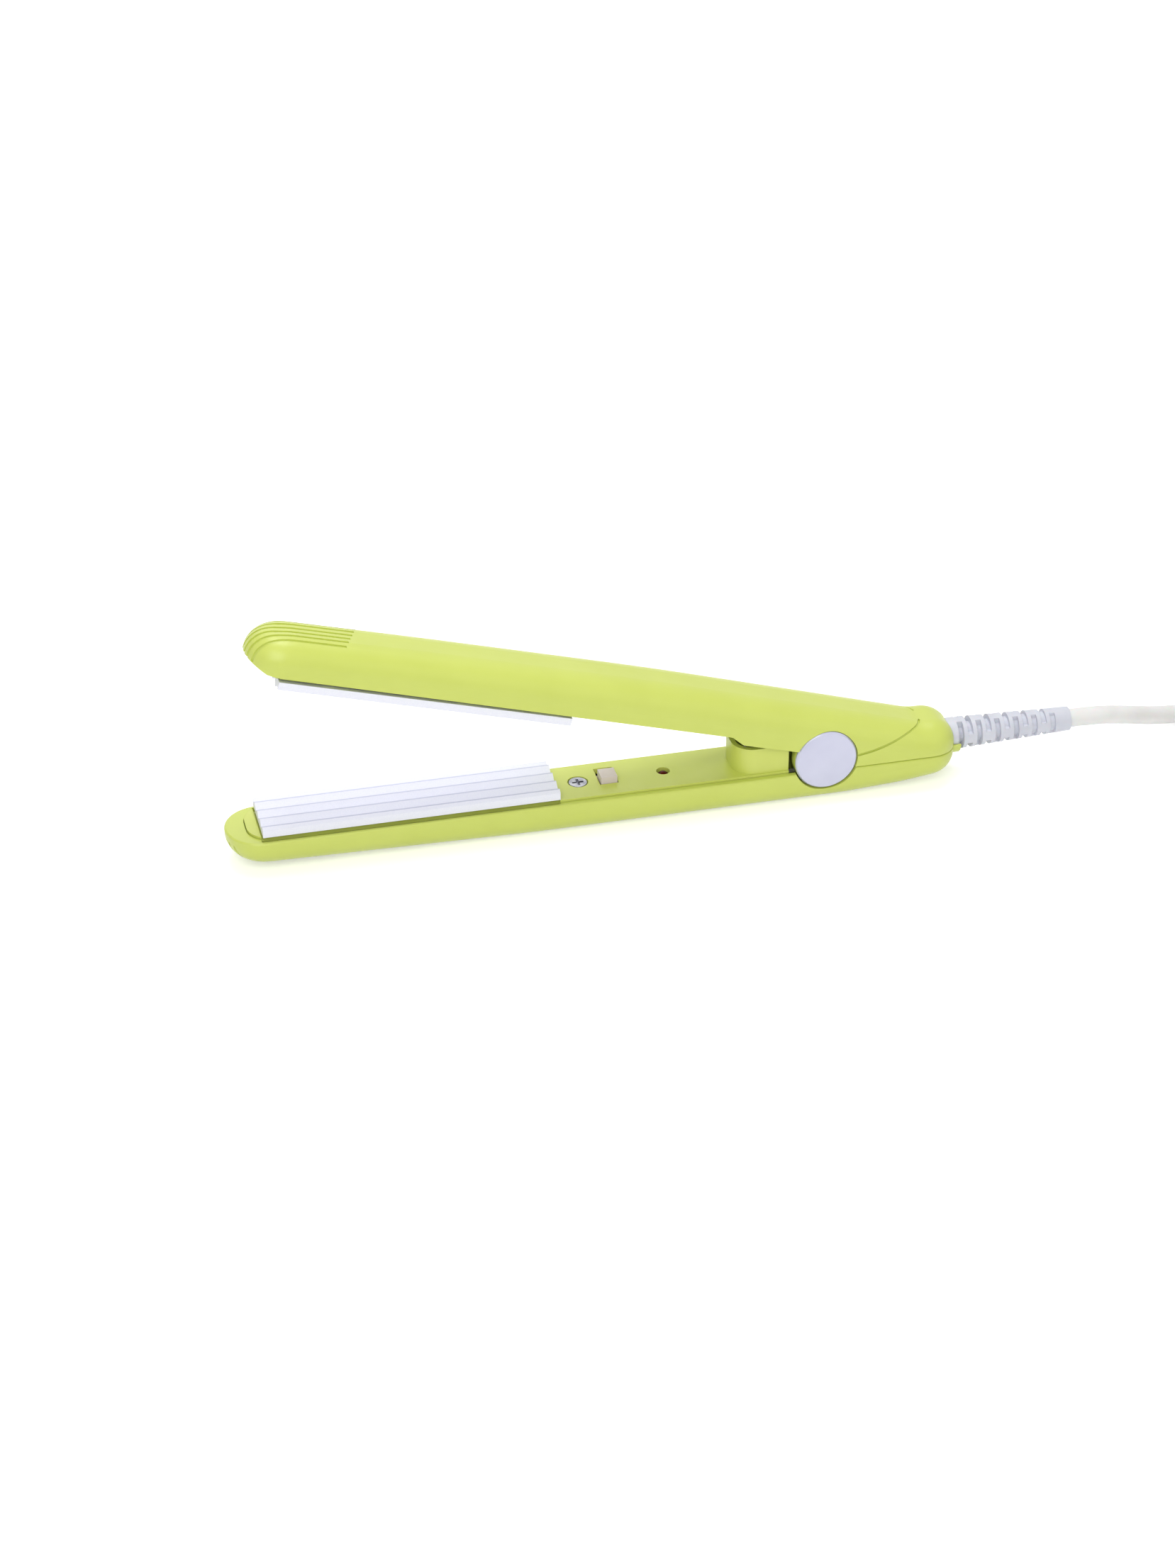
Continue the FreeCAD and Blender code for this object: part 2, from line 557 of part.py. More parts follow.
def sweep(name, path, radius):
    """A round tube along a smooth path, its volume checked against its length."""
    start = path.OrderedEdges[0]
    heading = start.tangentAt(start.FirstParameter)
    ring = Part.Wire([Part.makeCircle(radius, start.valueAt(start.FirstParameter), heading)])
    tube = path.makePipeShell([ring], True, False)
    expected = math.pi * radius ** 2 * path.Length
    print(f"{name}: length {path.Length:.1f}, volume {tube.Volume / expected:.4f} of section by length")
    return tube


def lead(name, points, radius):
    """A tube along points chosen by hand."""
    spots = [Vector(*point) for point in points]
    radii = bend_radii(spots)
    print(f"{name}: bends {[round(each, 1) for each in radii[1:-1]]}")
    return sweep(name, smooth_wire(spots, radii, False), radius)


def from_heater(points):
    """Points measured along from the heater's rear end, set in the arm frame."""
    return tuple((HEATER_SPAN[1] + x, y, z) for x, y, z in points)


def mirrored(points):
    """The same points on the other side of the middle."""
    return tuple((x, -y, z) for x, y, z in points)


def add_node(name, thing):
    """Keep a finished sub-part under the name of its file."""
    thing.Label = name
    nodes.append(thing)


def lower_node(name, thing):
    """Turn an arm-frame piece to the lower arm."""
    thing.Placement = Placement(Vector(), Rotation(Vector(1, 0, 0), 180))
    bind(thing, "Placement.Base.z", S.lower_back)
    add_node(name, thing)


def upper_node(name, thing):
    """Turn an arm-frame piece to the opened upper arm."""
    thing.Placement = Placement(Vector(), Rotation(Vector(0, 1, 0), float(S.open_angle)))
    bind(thing, "Placement.Rotation.Angle", S.open_angle)
    bind(thing, "Placement.Base.z", S.lower_back)
    add_node(name, thing)


def to_arm(x, z):
    """A side-view point of the opened arm, seen in the arm's own frame."""
    return (x * math.cos(OPEN) - z * math.sin(OPEN), x * math.sin(OPEN) + z * math.cos(OPEN))


def past(before, last, extra):
    """The point that carries the line on past its last point."""
    run = math.hypot(last[0] - before[0], last[1] - before[1])
    share = extra / run
    return (last[0] + (last[0] - before[0]) * share, last[1] + (last[1] - before[1]) * share)


def nose(bend, tip_back):
    """The back from its last bend on: its end past the tip, and where it starts to fall."""
    share = 1 - S.nose_length / (S.tip_reach + bend[0])
    start = (-S.tip_reach + S.nose_length, bend[1] + (tip_back - bend[1]) * share)
    return past(start, (-S.tip_reach, tip_back - S.nose_fall), OVERRUN), start


def lower_outline(rim_shift):
    """Side view of the lower casing, run out past both ends: x, z and the corner's radius."""
    rim = S.rim_drop - rim_shift
    front = (-S.lower_flat_front, S.lower_back)
    bend = (S.lower_bend_place, S.lower_bend_back)
    tip, fall = nose(front, S.lower_tip_back)
    end = past(bend, (S.tail_reach, S.lower_tail_back), OVERRUN)
    return (
        (tip[0], rim, 0),
        (*tip, 0),
        (*fall, S.nose_blend),
        (*front, S.front_blend),
        (S.lower_flat_rear, S.lower_back, S.rear_blend),
        (*bend, S.rear_blend),
        (*end, 0),
        (end[0], rim, 0),
    )


def upper_outline(rim_shift):
    """Side view of the upper casing, run out past both ends: x, z and the corner's radius."""
    rim = S.rim_drop - rim_shift
    skirt = S.skirt_drop - rim_shift
    seam = -S.rim_drop + S.seam_gap - rim_shift
    inside_cheek = S.cheek_radius * 0.7
    crest = (-S.upper_crest_front, S.upper_crest_back)
    saddle = (S.saddle_place, S.saddle_height)
    tip, fall = nose(crest, S.upper_tip_back)
    end = past(saddle, (S.tail_reach, S.tail_top), OVERRUN)
    return (
        (tip[0], rim + S.upper_rim_rise, 0),
        (*tip, 0),
        (*fall, S.nose_blend),
        (*crest, S.crest_blend),
        (-S.upper_crest_rear, S.upper_crest_back, S.crest_blend),
        (*to_arm(*saddle), S.saddle_round),
        (*to_arm(*end), 0),
        (*to_arm(end[0], seam), 0),
        (*to_arm(inside_cheek, seam), 0),
        (-inside_cheek, skirt, 0),
        (-S.skirt_front + S.skirt_step, skirt, SKIRT_ROUND),
        (-S.skirt_front, rim, SKIRT_ROUND),
    )


def plan_prism(low, high, half, low_round, high_round):
    """A rounded plan view drawn up and down, past any arm."""
    corners = ((low, -half), (high, -half), (high, half), (low, half))
    rounds = (low_round, high_round, high_round, low_round)
    face = Part.Face(smooth_wire([Vector(x, y, 0) for x, y in corners], rounds, True))
    face.translate(Vector(0, 0, -FAR))
    return face.extrude(Vector(0, 0, 2 * FAR))


def edges_between(shape, is_back, is_side):
    """The edges where a face of one kind meets a face of the other."""
    found = []
    kinds = []
    for face in shape.Faces:
        kinds.append((face, is_back(face), is_side(face)))
    for edge in shape.Edges:
        beside = [kind for kind in kinds if any(edge.isSame(other) for other in kind[0].Edges)]
        if any(kind[1] for kind in beside) and any(kind[2] for kind in beside):
            found.append(edge)
    return found


def middle_normal(face):
    """The outward normal at the middle of a face."""
    u_low, u_high, v_low, v_high = face.ParameterRange
    return face.normalAt((u_low + u_high) / 2, (v_low + v_high) / 2)


def faces_back(face):
    """True for a face that looks to the back of the arm."""
    return middle_normal(face).z > 0.8


def faces_rim(face):
    """True for a face that looks to the other arm."""
    return middle_normal(face).z < -0.8


def faces_aside(face):
    """True for an upright face."""
    return abs(middle_normal(face).z) < 0.35


def arm_form(outline, inset, tail_turn, front=None, front_round=None, rim_round=0):
    """The rounded form of an arm, or its inside when inset from it.

    The side view is drawn through the width, kept to the plan views of the nose and of the
    tail, and rounded along its back, and along its rim if that is asked for.
    """
    corners = outline(inset + RIM_OVERCUT if inset else 0)
    spots = [Vector(x, 0, z) for x, z, radius in corners]
    side = Part.Face(smooth_wire(spots, [corner[2] for corner in corners], True))
    if inset:
        moved = side.makeOffset2D(-inset)
        side = moved if moved.Area < side.Area else side.makeOffset2D(float(inset))
    half = float(HALF - inset)
    prism = side.extrude(Vector(0, 2 * half, 0))
    prism.translate(Vector(0, -half, 0))
    front = front or S.tip_reach - inset
    nose_plan = plan_prism(-front, FAR, half, front_round or half, 0)
    tail_plan = plan_prism(-2 * front, S.tail_reach - inset, half, 0, S.tail_round - inset)
    tail_plan.rotate(Vector(), Vector(0, 1, 0), -tail_turn)
    form = prism.common(nose_plan).common(tail_plan).removeSplitter()
    form = form.makeFillet(float(S.back_round - inset), edges_between(form, faces_back, faces_aside))
    if rim_round:
        form = form.makeFillet(float(rim_round), edges_between(form, faces_rim, faces_aside))
    return form


def rounded_block(name, low, high, half, low_round, z):
    """An upright block with its two front corners rounded in plan."""
    prism = solid(f"{name}_plan", plan_prism(low, high, float(half), low_round, 0))
    return common(name, prism, box(f"{name}_slab", (low - 1, high + 1), (-half - 1, half + 1), z))


def grooves(name, core):
    """The grip grooves of one tip: slots less the form that lies a groove's depth inside."""
    slots = []
    for count in range(int(S.groove_count)):
        place = count - (S.groove_count - 1) / 2
        middle = place * S.groove_pitch
        end = -S.groove_end + place * S.groove_stagger
        across = (middle - S.groove_width / 2, middle + S.groove_width / 2)
        along = (-S.tip_reach - OVERRUN, end)
        slots.append(box(f"{name}_slot_{count}", along, across, (S.groove_foot, FAR)))
    return cut(f"{name}_grooves", fuse(f"{name}_slots", *slots), core)


def creases(name, core):
    """The creases on both shoulders of a tail, as deep as the grip grooves."""
    made = []
    for side in (-1, 1):
        spots = []
        for along, inwards, height in CREASE:
            x, z = to_arm(S.tail_reach + along, height)
            across = HALF - inwards
            level = (z - across) / 2
            spots.append(Vector(x, -side * level, level))
        line = smooth_wire(spots, bend_radii(spots), False)
        strip = line.makeOffset2D(S.crease_width / 2, 0, True)
        outwards = Vector(0, side, 1)
        strip.translate(outwards * (HALF / 2))
        made.append(solid(f"{name}_crease_{len(made)}", strip.extrude(outwards * float(HALF))))
    return cut(f"{name}_creases", fuse(f"{name}_strips", *made), core)


def hollow_casing(name, outline, turn, rim_round, *carvings):
    """A casing's outer form, and the same form hollowed, with what is carved in its skin."""
    form = solid(f"{name}_form", arm_form(outline, 0.0, turn, rim_round=rim_round))
    front = COVER_FRONT + S.cover_gap
    inside = arm_form(outline, S.arm_wall, turn, front, S.nose_round + S.cover_gap)
    core = solid(f"{name}_core", arm_form(outline, S.groove_depth, turn))
    hollow = solid(f"{name}_hollow", inside)
    return form, cut(f"{name}_shell", form, hollow, *(carve(name, core) for carve in carvings))


def screw_boss(name, back):
    """The boss under the cover screw."""
    return cylinder(name, S.boss_radius, "z", (COVER_BACK, back), x=-S.cover_screw_place)


def ledges(name, places):
    """The ledges along both walls that the inner cover rests on."""
    made = []
    for place in places:
        along = (-S.ledge_length / 2 - place, S.ledge_length / 2 - place)
        for side in (-1, 1):
            edges = sorted((side * (HALF - S.arm_wall / 2), side * (HALF - S.arm_wall - S.ledge_width)))
            deep = (COVER_BACK, COVER_BACK + S.ledge_height)
            made.append(box(f"{name}_ledge_{len(made)}", along, edges, deep))
    return made


def plate_gaps(name):
    """What the rims leave out so that a plate's long sides stand clear of them."""
    along = (-PLATE_FRONT - S.plate_clear, -S.plate_rear)
    across = S.plate_width / 2 + S.plate_clear
    deep = (S.rim_drop - RIM_OVERCUT, S.rim_drop + S.plate_clear_depth)
    return box(f"{name}_plate_gaps", along, (-across, across), deep)


def bow():
    """What the upper rim leaves out where it rises faster towards the tip."""
    start = (-S.tip_reach + S.bow_length, S.rim_drop + S.upper_rim_rise)
    ahead = past(start, (-S.tip_reach, start[1] + S.bow_rise), OVERRUN)
    corners = (start, ahead, (ahead[0], S.rim_drop - RIM_OVERCUT), (start[0], S.rim_drop - RIM_OVERCUT))
    side = Part.Face(smooth_wire([Vector(x, -HALF, z) for x, z in corners], (0, 0, 0, 0), True))
    return solid("upper_bow", side.extrude(Vector(0, S.arm_width, 0)))


def both_sides(name, radius, near, far, x=0.0, z=0.0):
    """Two alike cylinders across, one on each side of the middle."""
    return (
        cylinder(f"{name}_left", radius, "y", (near, far), x=x, z=z),
        cylinder(f"{name}_right", radius, "y", (-far, -near), x=x, z=z),
    )


def make_lower_casing():
    """Lower outer casing with hinge ears, seats, ledges and the lip under the strain relief."""
    form, shell = hollow_casing("lower", lower_outline, 0.0, S.rim_round, grooves)
    deep = LOWER_FLOOR + S.arm_wall / 2
    inside = ledges("lower", (*LEDGE_PLACES, S.ledge_end))
    for side, ear in (("left", (S.ear_inner, S.ear_outer)), ("right", (-S.ear_outer, -S.ear_inner))):
        inside.append(box(f"ear_{side}_foot", (-S.ear_radius, S.ear_radius), ear, (0.0, deep)))
        inside.append(cylinder(f"ear_{side}_eye", S.ear_radius, "y", ear))
    inside.append(screw_boss("lower_boss", deep))
    inside.append(cylinder("spring_seat", S.seat_radius, "z", (S.spring_foot, deep), x=-S.spring_place))
    post = (S.spring_foot - S.post_height, deep)
    inside.append(cylinder("spring_post", S.post_radius, "z", post, x=-S.spring_place))
    switch_x = (-SLOT_MIDDLE - S.switch_width / 2, -SLOT_MIDDLE + S.switch_width / 2)
    for side in (-1, 1):
        end = SWITCH_MIDDLE + side * S.switch_length / 2
        span = sorted((end, end - side * S.rib_thick))
        inside.append(box(f"switch_rest_{len(inside)}", switch_x, span, (SWITCH_BACK, deep)))
        rib = sorted((side * (S.board_half - S.rib_thick), side * (S.board_half - 2 * S.rib_thick)))
        board_x = (-S.board_front + 2, -S.board_rear - 2)
        inside.append(box(f"board_rib_{len(inside)}", board_x, rib, (BOARD_FACE + S.board_thick, deep)))
    fuse_x = (-S.fuse_front + S.fuse_length / 3, -S.fuse_front + S.fuse_length * 2 / 3)
    fuse_y = (S.fuse_side - S.fuse_radius, S.fuse_side + S.fuse_radius)
    inside.append(box("fuse_rest", fuse_x, fuse_y, (S.fuse_depth + S.fuse_radius, deep)))
    clamp_x = (S.clamp_place - S.clamp_length / 2, S.clamp_place + S.clamp_length / 2)
    saddle = (S.cord_axis + S.cord_radius, deep)
    inside.append(box("cord_saddle", clamp_x, (-S.cord_radius, S.cord_radius), saddle))
    for side in (-1, 1):
        boss = cylinder(f"clamp_boss_{len(inside)}", S.clamp_boss, "z", (CORD_TOP, deep),
                        x=S.clamp_place, y=side * S.clamp_screw_side)
        inside.append(boss)
    trimmed_form = box("lower_room", (-S.tip_reach, S.tail_reach), (-HALF, HALF), (-HALF, S.rim_drop + 1))
    room = fuse("lower_reach", form, trimmed_form)
    fittings = common("lower_fittings", fuse("lower_inside", *inside), room)
    lip_x = (S.tail_reach - S.arm_wall / 2, S.tail_reach + S.lip_length)
    lip_radius = S.relief_radius + S.relief_play + S.lip_wall
    lip_rod = cylinder("lip_rod", lip_radius, "x", lip_x, z=S.cord_axis)
    lip_half = box("lip_half", lip_x, (-HALF, HALF), (S.rim_drop, S.lower_back))
    whole = fuse("lower_whole", shell, fittings, common("relief_lip", lip_rod, lip_half))
    notch_radius = S.cheek_radius + S.cheek_play
    tools = list(both_sides("cheek_notch", notch_radius, S.ear_outer + S.screw_play * 4, HALF + 2))
    tools.append(plate_gaps("lower"))
    pin_bore = S.hinge_pin_radius + S.pin_play
    tools.append(cylinder("ear_bore", pin_bore, "y", (-S.ear_outer - 1, S.ear_outer + 1)))
    pilot = S.cover_screw_radius + S.screw_play
    pilot_deep = (COVER_BACK - 1, COVER_BACK + S.cover_screw_reach + S.screw_play)
    tools.append(cylinder("lower_pilot", pilot, "z", pilot_deep, x=-S.cover_screw_place))
    bore_x = (S.tail_reach - S.arm_wall - 1, S.tail_reach + S.lip_length + 1)
    tools.append(cylinder("relief_bore", S.relief_radius + S.relief_play, "x", bore_x, z=S.cord_axis))
    clamp_pilot = S.clamp_screw_radius + S.screw_play
    clamp_deep = (CORD_TOP - 1, CORD_TOP + S.clamp_screw_reach + S.screw_play)
    for side in (-1, 1):
        tools.append(cylinder(f"clamp_pilot_{len(tools)}", clamp_pilot, "z", clamp_deep,
                              x=S.clamp_place, y=side * S.clamp_screw_side))
    lower_node("lower_outer_shell", cut("lower_casing", whole, *tools))


def make_upper_casing():
    """Upper outer casing with its tail, hinge cheeks, spring seat and ledges."""
    form, shell = hollow_casing("upper", upper_outline, S.open_angle, 0, grooves, creases)
    deep = S.upper_crest_back - S.arm_wall / 2
    inside = ledges("upper", LEDGE_PLACES)
    inside.append(screw_boss("upper_boss", deep))
    up = Vector(-math.sin(OPEN), 0, math.cos(OPEN))
    for name, radius, low in (
        ("spring_roof", S.seat_radius, S.spring_head),
        ("spring_peg", S.post_radius, S.spring_head - S.post_height),
    ):
        x, z = to_arm(-S.spring_place, low)
        inside.append(solid(name, Part.makeCylinder(radius, 2 * HALF, Vector(x, 0, z), up)))
    wide = box("upper_room", (-S.tip_reach, S.tail_reach), (-HALF, HALF), (-HALF, S.rim_drop + 1))
    fittings = common("upper_fittings", fuse("upper_inside", *inside), fuse("upper_reach", form, wide))
    cheeks = both_sides("cheek", S.cheek_radius, S.cheek_inner, S.cheek_outer)
    whole = fuse("upper_whole", shell, fittings, *cheeks)
    tools = [bow(), *both_sides("cap_recess", S.cap_radius + S.cap_play, S.cheek_outer, HALF + 2)]
    stub = (S.cheek_outer - S.stub_length - S.stub_play, S.cheek_outer + 1)
    tools += both_sides("stub_bore", S.stub_radius + S.stub_play, *stub)
    pin_bore = S.hinge_pin_radius + S.pin_play
    tools += both_sides("cheek_bore", pin_bore, S.cheek_inner - 1, S.cheek_outer + 1)
    pilot = S.cover_screw_radius + S.screw_play
    pilot_deep = (COVER_BACK - 1, COVER_BACK + S.cover_screw_reach + S.screw_play)
    tools.append(cylinder("upper_pilot", pilot, "z", pilot_deep, x=-S.cover_screw_place))
    along = Vector(math.cos(OPEN), 0, math.sin(OPEN))
    flange_end = RELIEF_BACK + S.relief_flange_thick + S.relief_play
    for name, radius, near, far in (
        ("flange_room", S.relief_flange + S.relief_play * 2, RELIEF_BACK - S.relief_play, flange_end),
        ("relief_room", S.relief_radius + S.relief_clear, RELIEF_BACK, S.tail_reach + S.lip_length),
    ):
        x, z = to_arm(near, -S.cord_axis)
        room = Part.makeCylinder(radius, far - near, Vector(x, 0, z), along)
        tools.append(solid(name, room))
    upper_node("upper_outer_shell", cut("upper_casing", whole, *tools))


def cover_cuts(name):
    """What both inner covers leave out: the legs' window and the screws' holes."""
    along = (LEG_SPAN[0] - S.window_end_play, LEG_SPAN[1] + S.window_end_play)
    across = S.leg_inner + S.leg_thick + S.window_play
    deep = (S.cover_face - 1, COVER_BACK + 1)
    cuts = [box(f"{name}_window", along, (-across, across), deep)]
    front = (-PLATE_FRONT - S.plate_clear, -PLATE_FRONT + S.plate_clear)
    sink = (S.cover_face - 1, S.cover_face + S.plate_groove_depth)
    cuts.append(box(f"{name}_front_gap", front, (-HALF, HALF), sink))
    along = (front[0], -S.plate_rear)
    for side in (-1, 1):
        back = sorted((side * (S.plate_width / 2 - S.plate_undercut), side * HALF))
        cuts.append(box(f"{name}_undercut_{len(cuts)}", along, back, deep))
    hole = S.plate_screw_radius + S.screw_play
    for place in (S.plate_rear + S.plate_screw_inset, PLATE_FRONT - S.plate_screw_inset):
        cuts.append(cylinder(f"{name}_plate_hole_{len(cuts)}", hole, "z", deep, x=-place))
    hole = S.cover_screw_radius + S.screw_play * 2
    cuts.append(cylinder(f"{name}_screw_hole", hole, "z", deep, x=-S.cover_screw_place))
    sink = (S.cover_face - 1, S.cover_face + S.screw_sink + S.cover_screw_head_thick)
    head = S.cover_screw_head + S.screw_head_gap
    cuts.append(cylinder(f"{name}_screw_sink", head, "z", sink, x=-S.cover_screw_place))
    return cuts


def make_lower_cover():
    """Lower inner cover with the switch slot, the lamp's hole and the spring's collar."""
    slab = (S.cover_face, COVER_BACK)
    end = -S.lower_cover_end
    blank = rounded_block("lower_cover_blank", -COVER_FRONT, end, COVER_HALF, S.nose_round, slab)
    front = -S.collar_front
    collar = rounded_block("collar", front, end, S.collar_half, S.collar_round,
                           (-S.collar_top, S.cover_face + S.cover_thick / 2))
    inner_end = end - S.collar_wall
    half = S.collar_half - S.collar_wall
    hollow = rounded_block("collar_hollow", front + S.collar_wall, inner_end, half,
                           S.collar_round - S.collar_wall, (-S.collar_top - 1, COVER_BACK + 1))
    deep = (S.cover_face - 1, COVER_BACK + 1)
    slot = box("switch_slot", (-S.slot_front, -S.slot_rear), (-S.slot_far, S.slot_near), deep)
    lamp = cylinder("lamp_hole", S.lamp_radius + S.lamp_play, "z", deep, x=-S.lamp_place)
    whole = fuse("lower_cover_whole", blank, collar)
    cuts = cover_cuts("lower_cover")
    lower_node("lower_inner_cover", cut("lower_cover", whole, hollow, slot, lamp, *cuts))


def make_upper_cover():
    """Upper inner cover."""
    slab = (S.cover_face, COVER_BACK)
    end = -S.upper_cover_end
    blank = rounded_block("upper_cover_blank", -COVER_FRONT, end, COVER_HALF, S.nose_round, slab)
    upper_node("upper_inner_cover", cut("upper_cover", blank, *cover_cuts("upper_cover")))


def ridge_line():
    """The corrugated face of a plate, from one side to the other: y and z.

    Turned half round about X it is the same line, so two alike plates mesh.
    """
    pitch = S.plate_width / S.ridge_count
    rise = S.ridge_height / 2
    middle = S.hair_gap / 2
    line = [(-S.plate_width / 2, middle)]
    for count in range(int(S.ridge_count)):
        start = -S.plate_width / 2 + count * pitch
        for share, level in ((0.25, rise), (0.75, -rise)):
            place = start + pitch * share
            line.append((place - S.ridge_flat / 2, middle + level))
            line.append((place + S.ridge_flat / 2, middle + level))
    line.append((S.plate_width / 2, middle))
    return line


def make_plate(prefix, keep):
    """Crimping plate: a corrugated extrusion with two lipped legs that hold the heater."""
    half = S.plate_width / 2
    outline = ridge_line() + [(half, PLATE_BACK), (-half, PLATE_BACK)]
    body = pad(f"{prefix}_plate", "x", outline, (-PLATE_FRONT, -S.plate_rear))
    inner = S.leg_inner
    outer = S.leg_inner + S.leg_thick
    top = PLATE_BACK - S.lip_thick
    foot = PLATE_BACK + S.leg_depth
    lip = foot - S.lip_thick
    for side, name in ((-1, "left"), (1, "right")):
        leg = (
            (side * inner, top), (side * outer, top), (side * outer, foot),
            (side * (inner - S.lip_thick), foot), (side * (inner - S.lip_thick), lip),
            (side * inner, lip),
        )
        add_pad(body, f"{prefix}_{name}_leg", "x", leg, LEG_SPAN)
    holes = []
    deep = (PLATE_BACK - S.plate_screw_depth - S.screw_play, PLATE_BACK + 1)
    for place in (S.plate_rear + S.plate_screw_inset, PLATE_FRONT - S.plate_screw_inset):
        name = f"{prefix}_plate_tap_{len(holes)}"
        holes.append(cylinder(name, S.plate_screw_radius + S.screw_play, "z", deep, x=-place))
    keep(f"{prefix}_crimp_plate", cut(f"{prefix}_plate_tapped", body, *holes))


def make_heater(prefix, keep):
    """Ceramic heater in its film, and the clip that presses it to the plate."""
    half = S.heater_width / 2
    face = PLATE_BACK + S.film_thick
    back = face + S.heater_thick
    core = (
        (-half, face), (half, face), (half, back), (-half, back),
    )
    keep(f"{prefix}_heater", pad(f"{prefix}_heater_block", "x", core, HEATER_SPAN))
    skin = box(f"{prefix}_film_skin", HEATER_SPAN, (-half - S.film_thick, half + S.film_thick),
               (PLATE_BACK, back + S.film_thick))
    through = (HEATER_SPAN[0] - 1, HEATER_SPAN[1] + 1)
    inside = box(f"{prefix}_film_inside", through, (-half, half), (face, back))
    keep(f"{prefix}_heater_film", cut(f"{prefix}_film", skin, inside))
    wide = S.leg_inner - S.clip_play
    low = back + S.film_thick
    clip = (
        (-wide, low), (wide, low), (wide, low + S.clip_thick), (-wide, low + S.clip_thick),
    )
    keep(f"{prefix}_heater_clip", pad(f"{prefix}_clip", "x", clip, CLIP_SPAN))


def make_plate_fixings(prefix, keep):
    """Soft pads between a plate and its cover, and the screws that hold the plate."""
    pads = []
    screws = []
    for place in (S.plate_rear + S.plate_screw_inset, PLATE_FRONT - S.plate_screw_inset):
        tag = f"{prefix}_{len(pads)}"
        along = (-place - S.pad_length / 2, -place + S.pad_length / 2)
        across = (-S.pad_width / 2, S.pad_width / 2)
        slab = box(f"{tag}_pad", along, across, (PLATE_BACK, S.cover_face))
        hole = cylinder(f"{tag}_pad_hole", S.plate_screw_radius + S.screw_play, "z",
                        (PLATE_BACK - 1, S.cover_face + 1), x=-place)
        pads.append(cut(f"{tag}_pad_cut", slab, hole))
        crown = COVER_BACK + S.plate_screw_head_thick
        tip = PLATE_BACK - S.plate_screw_depth
        shank = cylinder(f"{tag}_shank", S.plate_screw_radius, "z", (tip, crown), x=-place)
        head = cylinder(f"{tag}_head", S.plate_screw_head, "z", (COVER_BACK, crown), x=-place)
        screws.append(fuse(f"{tag}_screw", shank, head))
    keep(f"{prefix}_plate_pads", group(f"{prefix}_pads", *pads))
    keep(f"{prefix}_plate_screws", group(f"{prefix}_screws", *screws))


def make_cover_screw(prefix, keep):
    """The cross-recessed screw that holds an inner cover."""
    place = -S.cover_screw_place
    face = S.cover_face + S.screw_sink
    under = face + S.cover_screw_head_thick
    head = cylinder(f"{prefix}_screw_head", S.cover_screw_head, "z", (face, under), x=place)
    shank = cylinder(f"{prefix}_screw_shank", S.cover_screw_radius, "z",
                     (under - S.cross_depth / 2, COVER_BACK + S.cover_screw_reach), x=place)
    arms = []
    for name, long, wide in (
        ("along", S.cross_length, S.cross_width), ("across", S.cross_width, S.cross_length),
    ):
        arms.append(box(f"{prefix}_cross_{name}", (place - long / 2, place + long / 2),
                        (-wide / 2, wide / 2), (face - 1, face + S.cross_depth)))
    whole = fuse(f"{prefix}_screw_whole", head, shank)
    keep(f"{prefix}_cover_screw", cut(f"{prefix}_screw_cut", whole, *arms))


def make_hinge():
    """Cross pin, washers and the return spring in the lower arm, and the caps on the upper."""
    pin = cylinder("pin_rod", S.hinge_pin_radius, "y", (-S.pin_half, S.pin_half))
    lower_node("hinge_pin", group("pin", pin))
    washers = []
    near = S.ear_outer + (S.cheek_inner - S.ear_outer - S.washer_thick) / 2
    for side, span in ((1, (near, near + S.washer_thick)), (-1, (-near - S.washer_thick, -near))):
        disc = cylinder(f"washer_disc_{len(washers)}", S.washer_radius, "y", span)
        bore = cylinder(f"washer_bore_{len(washers)}", S.hinge_pin_radius + S.pin_play, "y",
                        (span[0] - 1, span[1] + 1))
        washers.append(cut(f"washer_{len(washers)}", disc, bore))
    lower_node("hinge_washers", group("washers", *washers))
    face = S.cheek_outer + S.cap_thick
    bevel_start = face - S.cap_bevel
    for name, side in (("near", -1), ("far", 1)):
        rim = (S.cheek_outer, bevel_start)
        stub = (S.cheek_outer - S.stub_length, bevel_start)
        turned = (lambda span: span) if side > 0 else (lambda span: (-span[1], -span[0]))
        disc = cylinder(f"cap_{name}_disc", S.cap_radius, "y", turned(rim))
        root = cylinder(f"cap_{name}_stub", S.stub_radius, "y", turned(stub))
        small = S.cap_radius - S.cap_bevel
        radii = (S.cap_radius, small) if side > 0 else (small, S.cap_radius)
        bevel = cone(f"cap_{name}_bevel", *radii, "y", turned((bevel_start, face)))
        upper_node(f"hinge_cap_{name}", fuse(f"cap_{name}", disc, root, bevel))


def make_spring():
    """Plain sleeve in the place of the return spring, between its two seats in the collar."""
    ends = (S.spring_play - S.spring_head, S.spring_foot - S.spring_play)
    sleeve = cylinder("spring_sleeve", S.spring_radius, "z", ends, x=-S.spring_place)
    past_ends = (ends[0] - 1, ends[1] + 1)
    bore = cylinder("spring_bore", S.spring_radius - S.spring_wall, "z", past_ends, x=-S.spring_place)
    lower_node("return_spring", cut("spring", sleeve, bore))


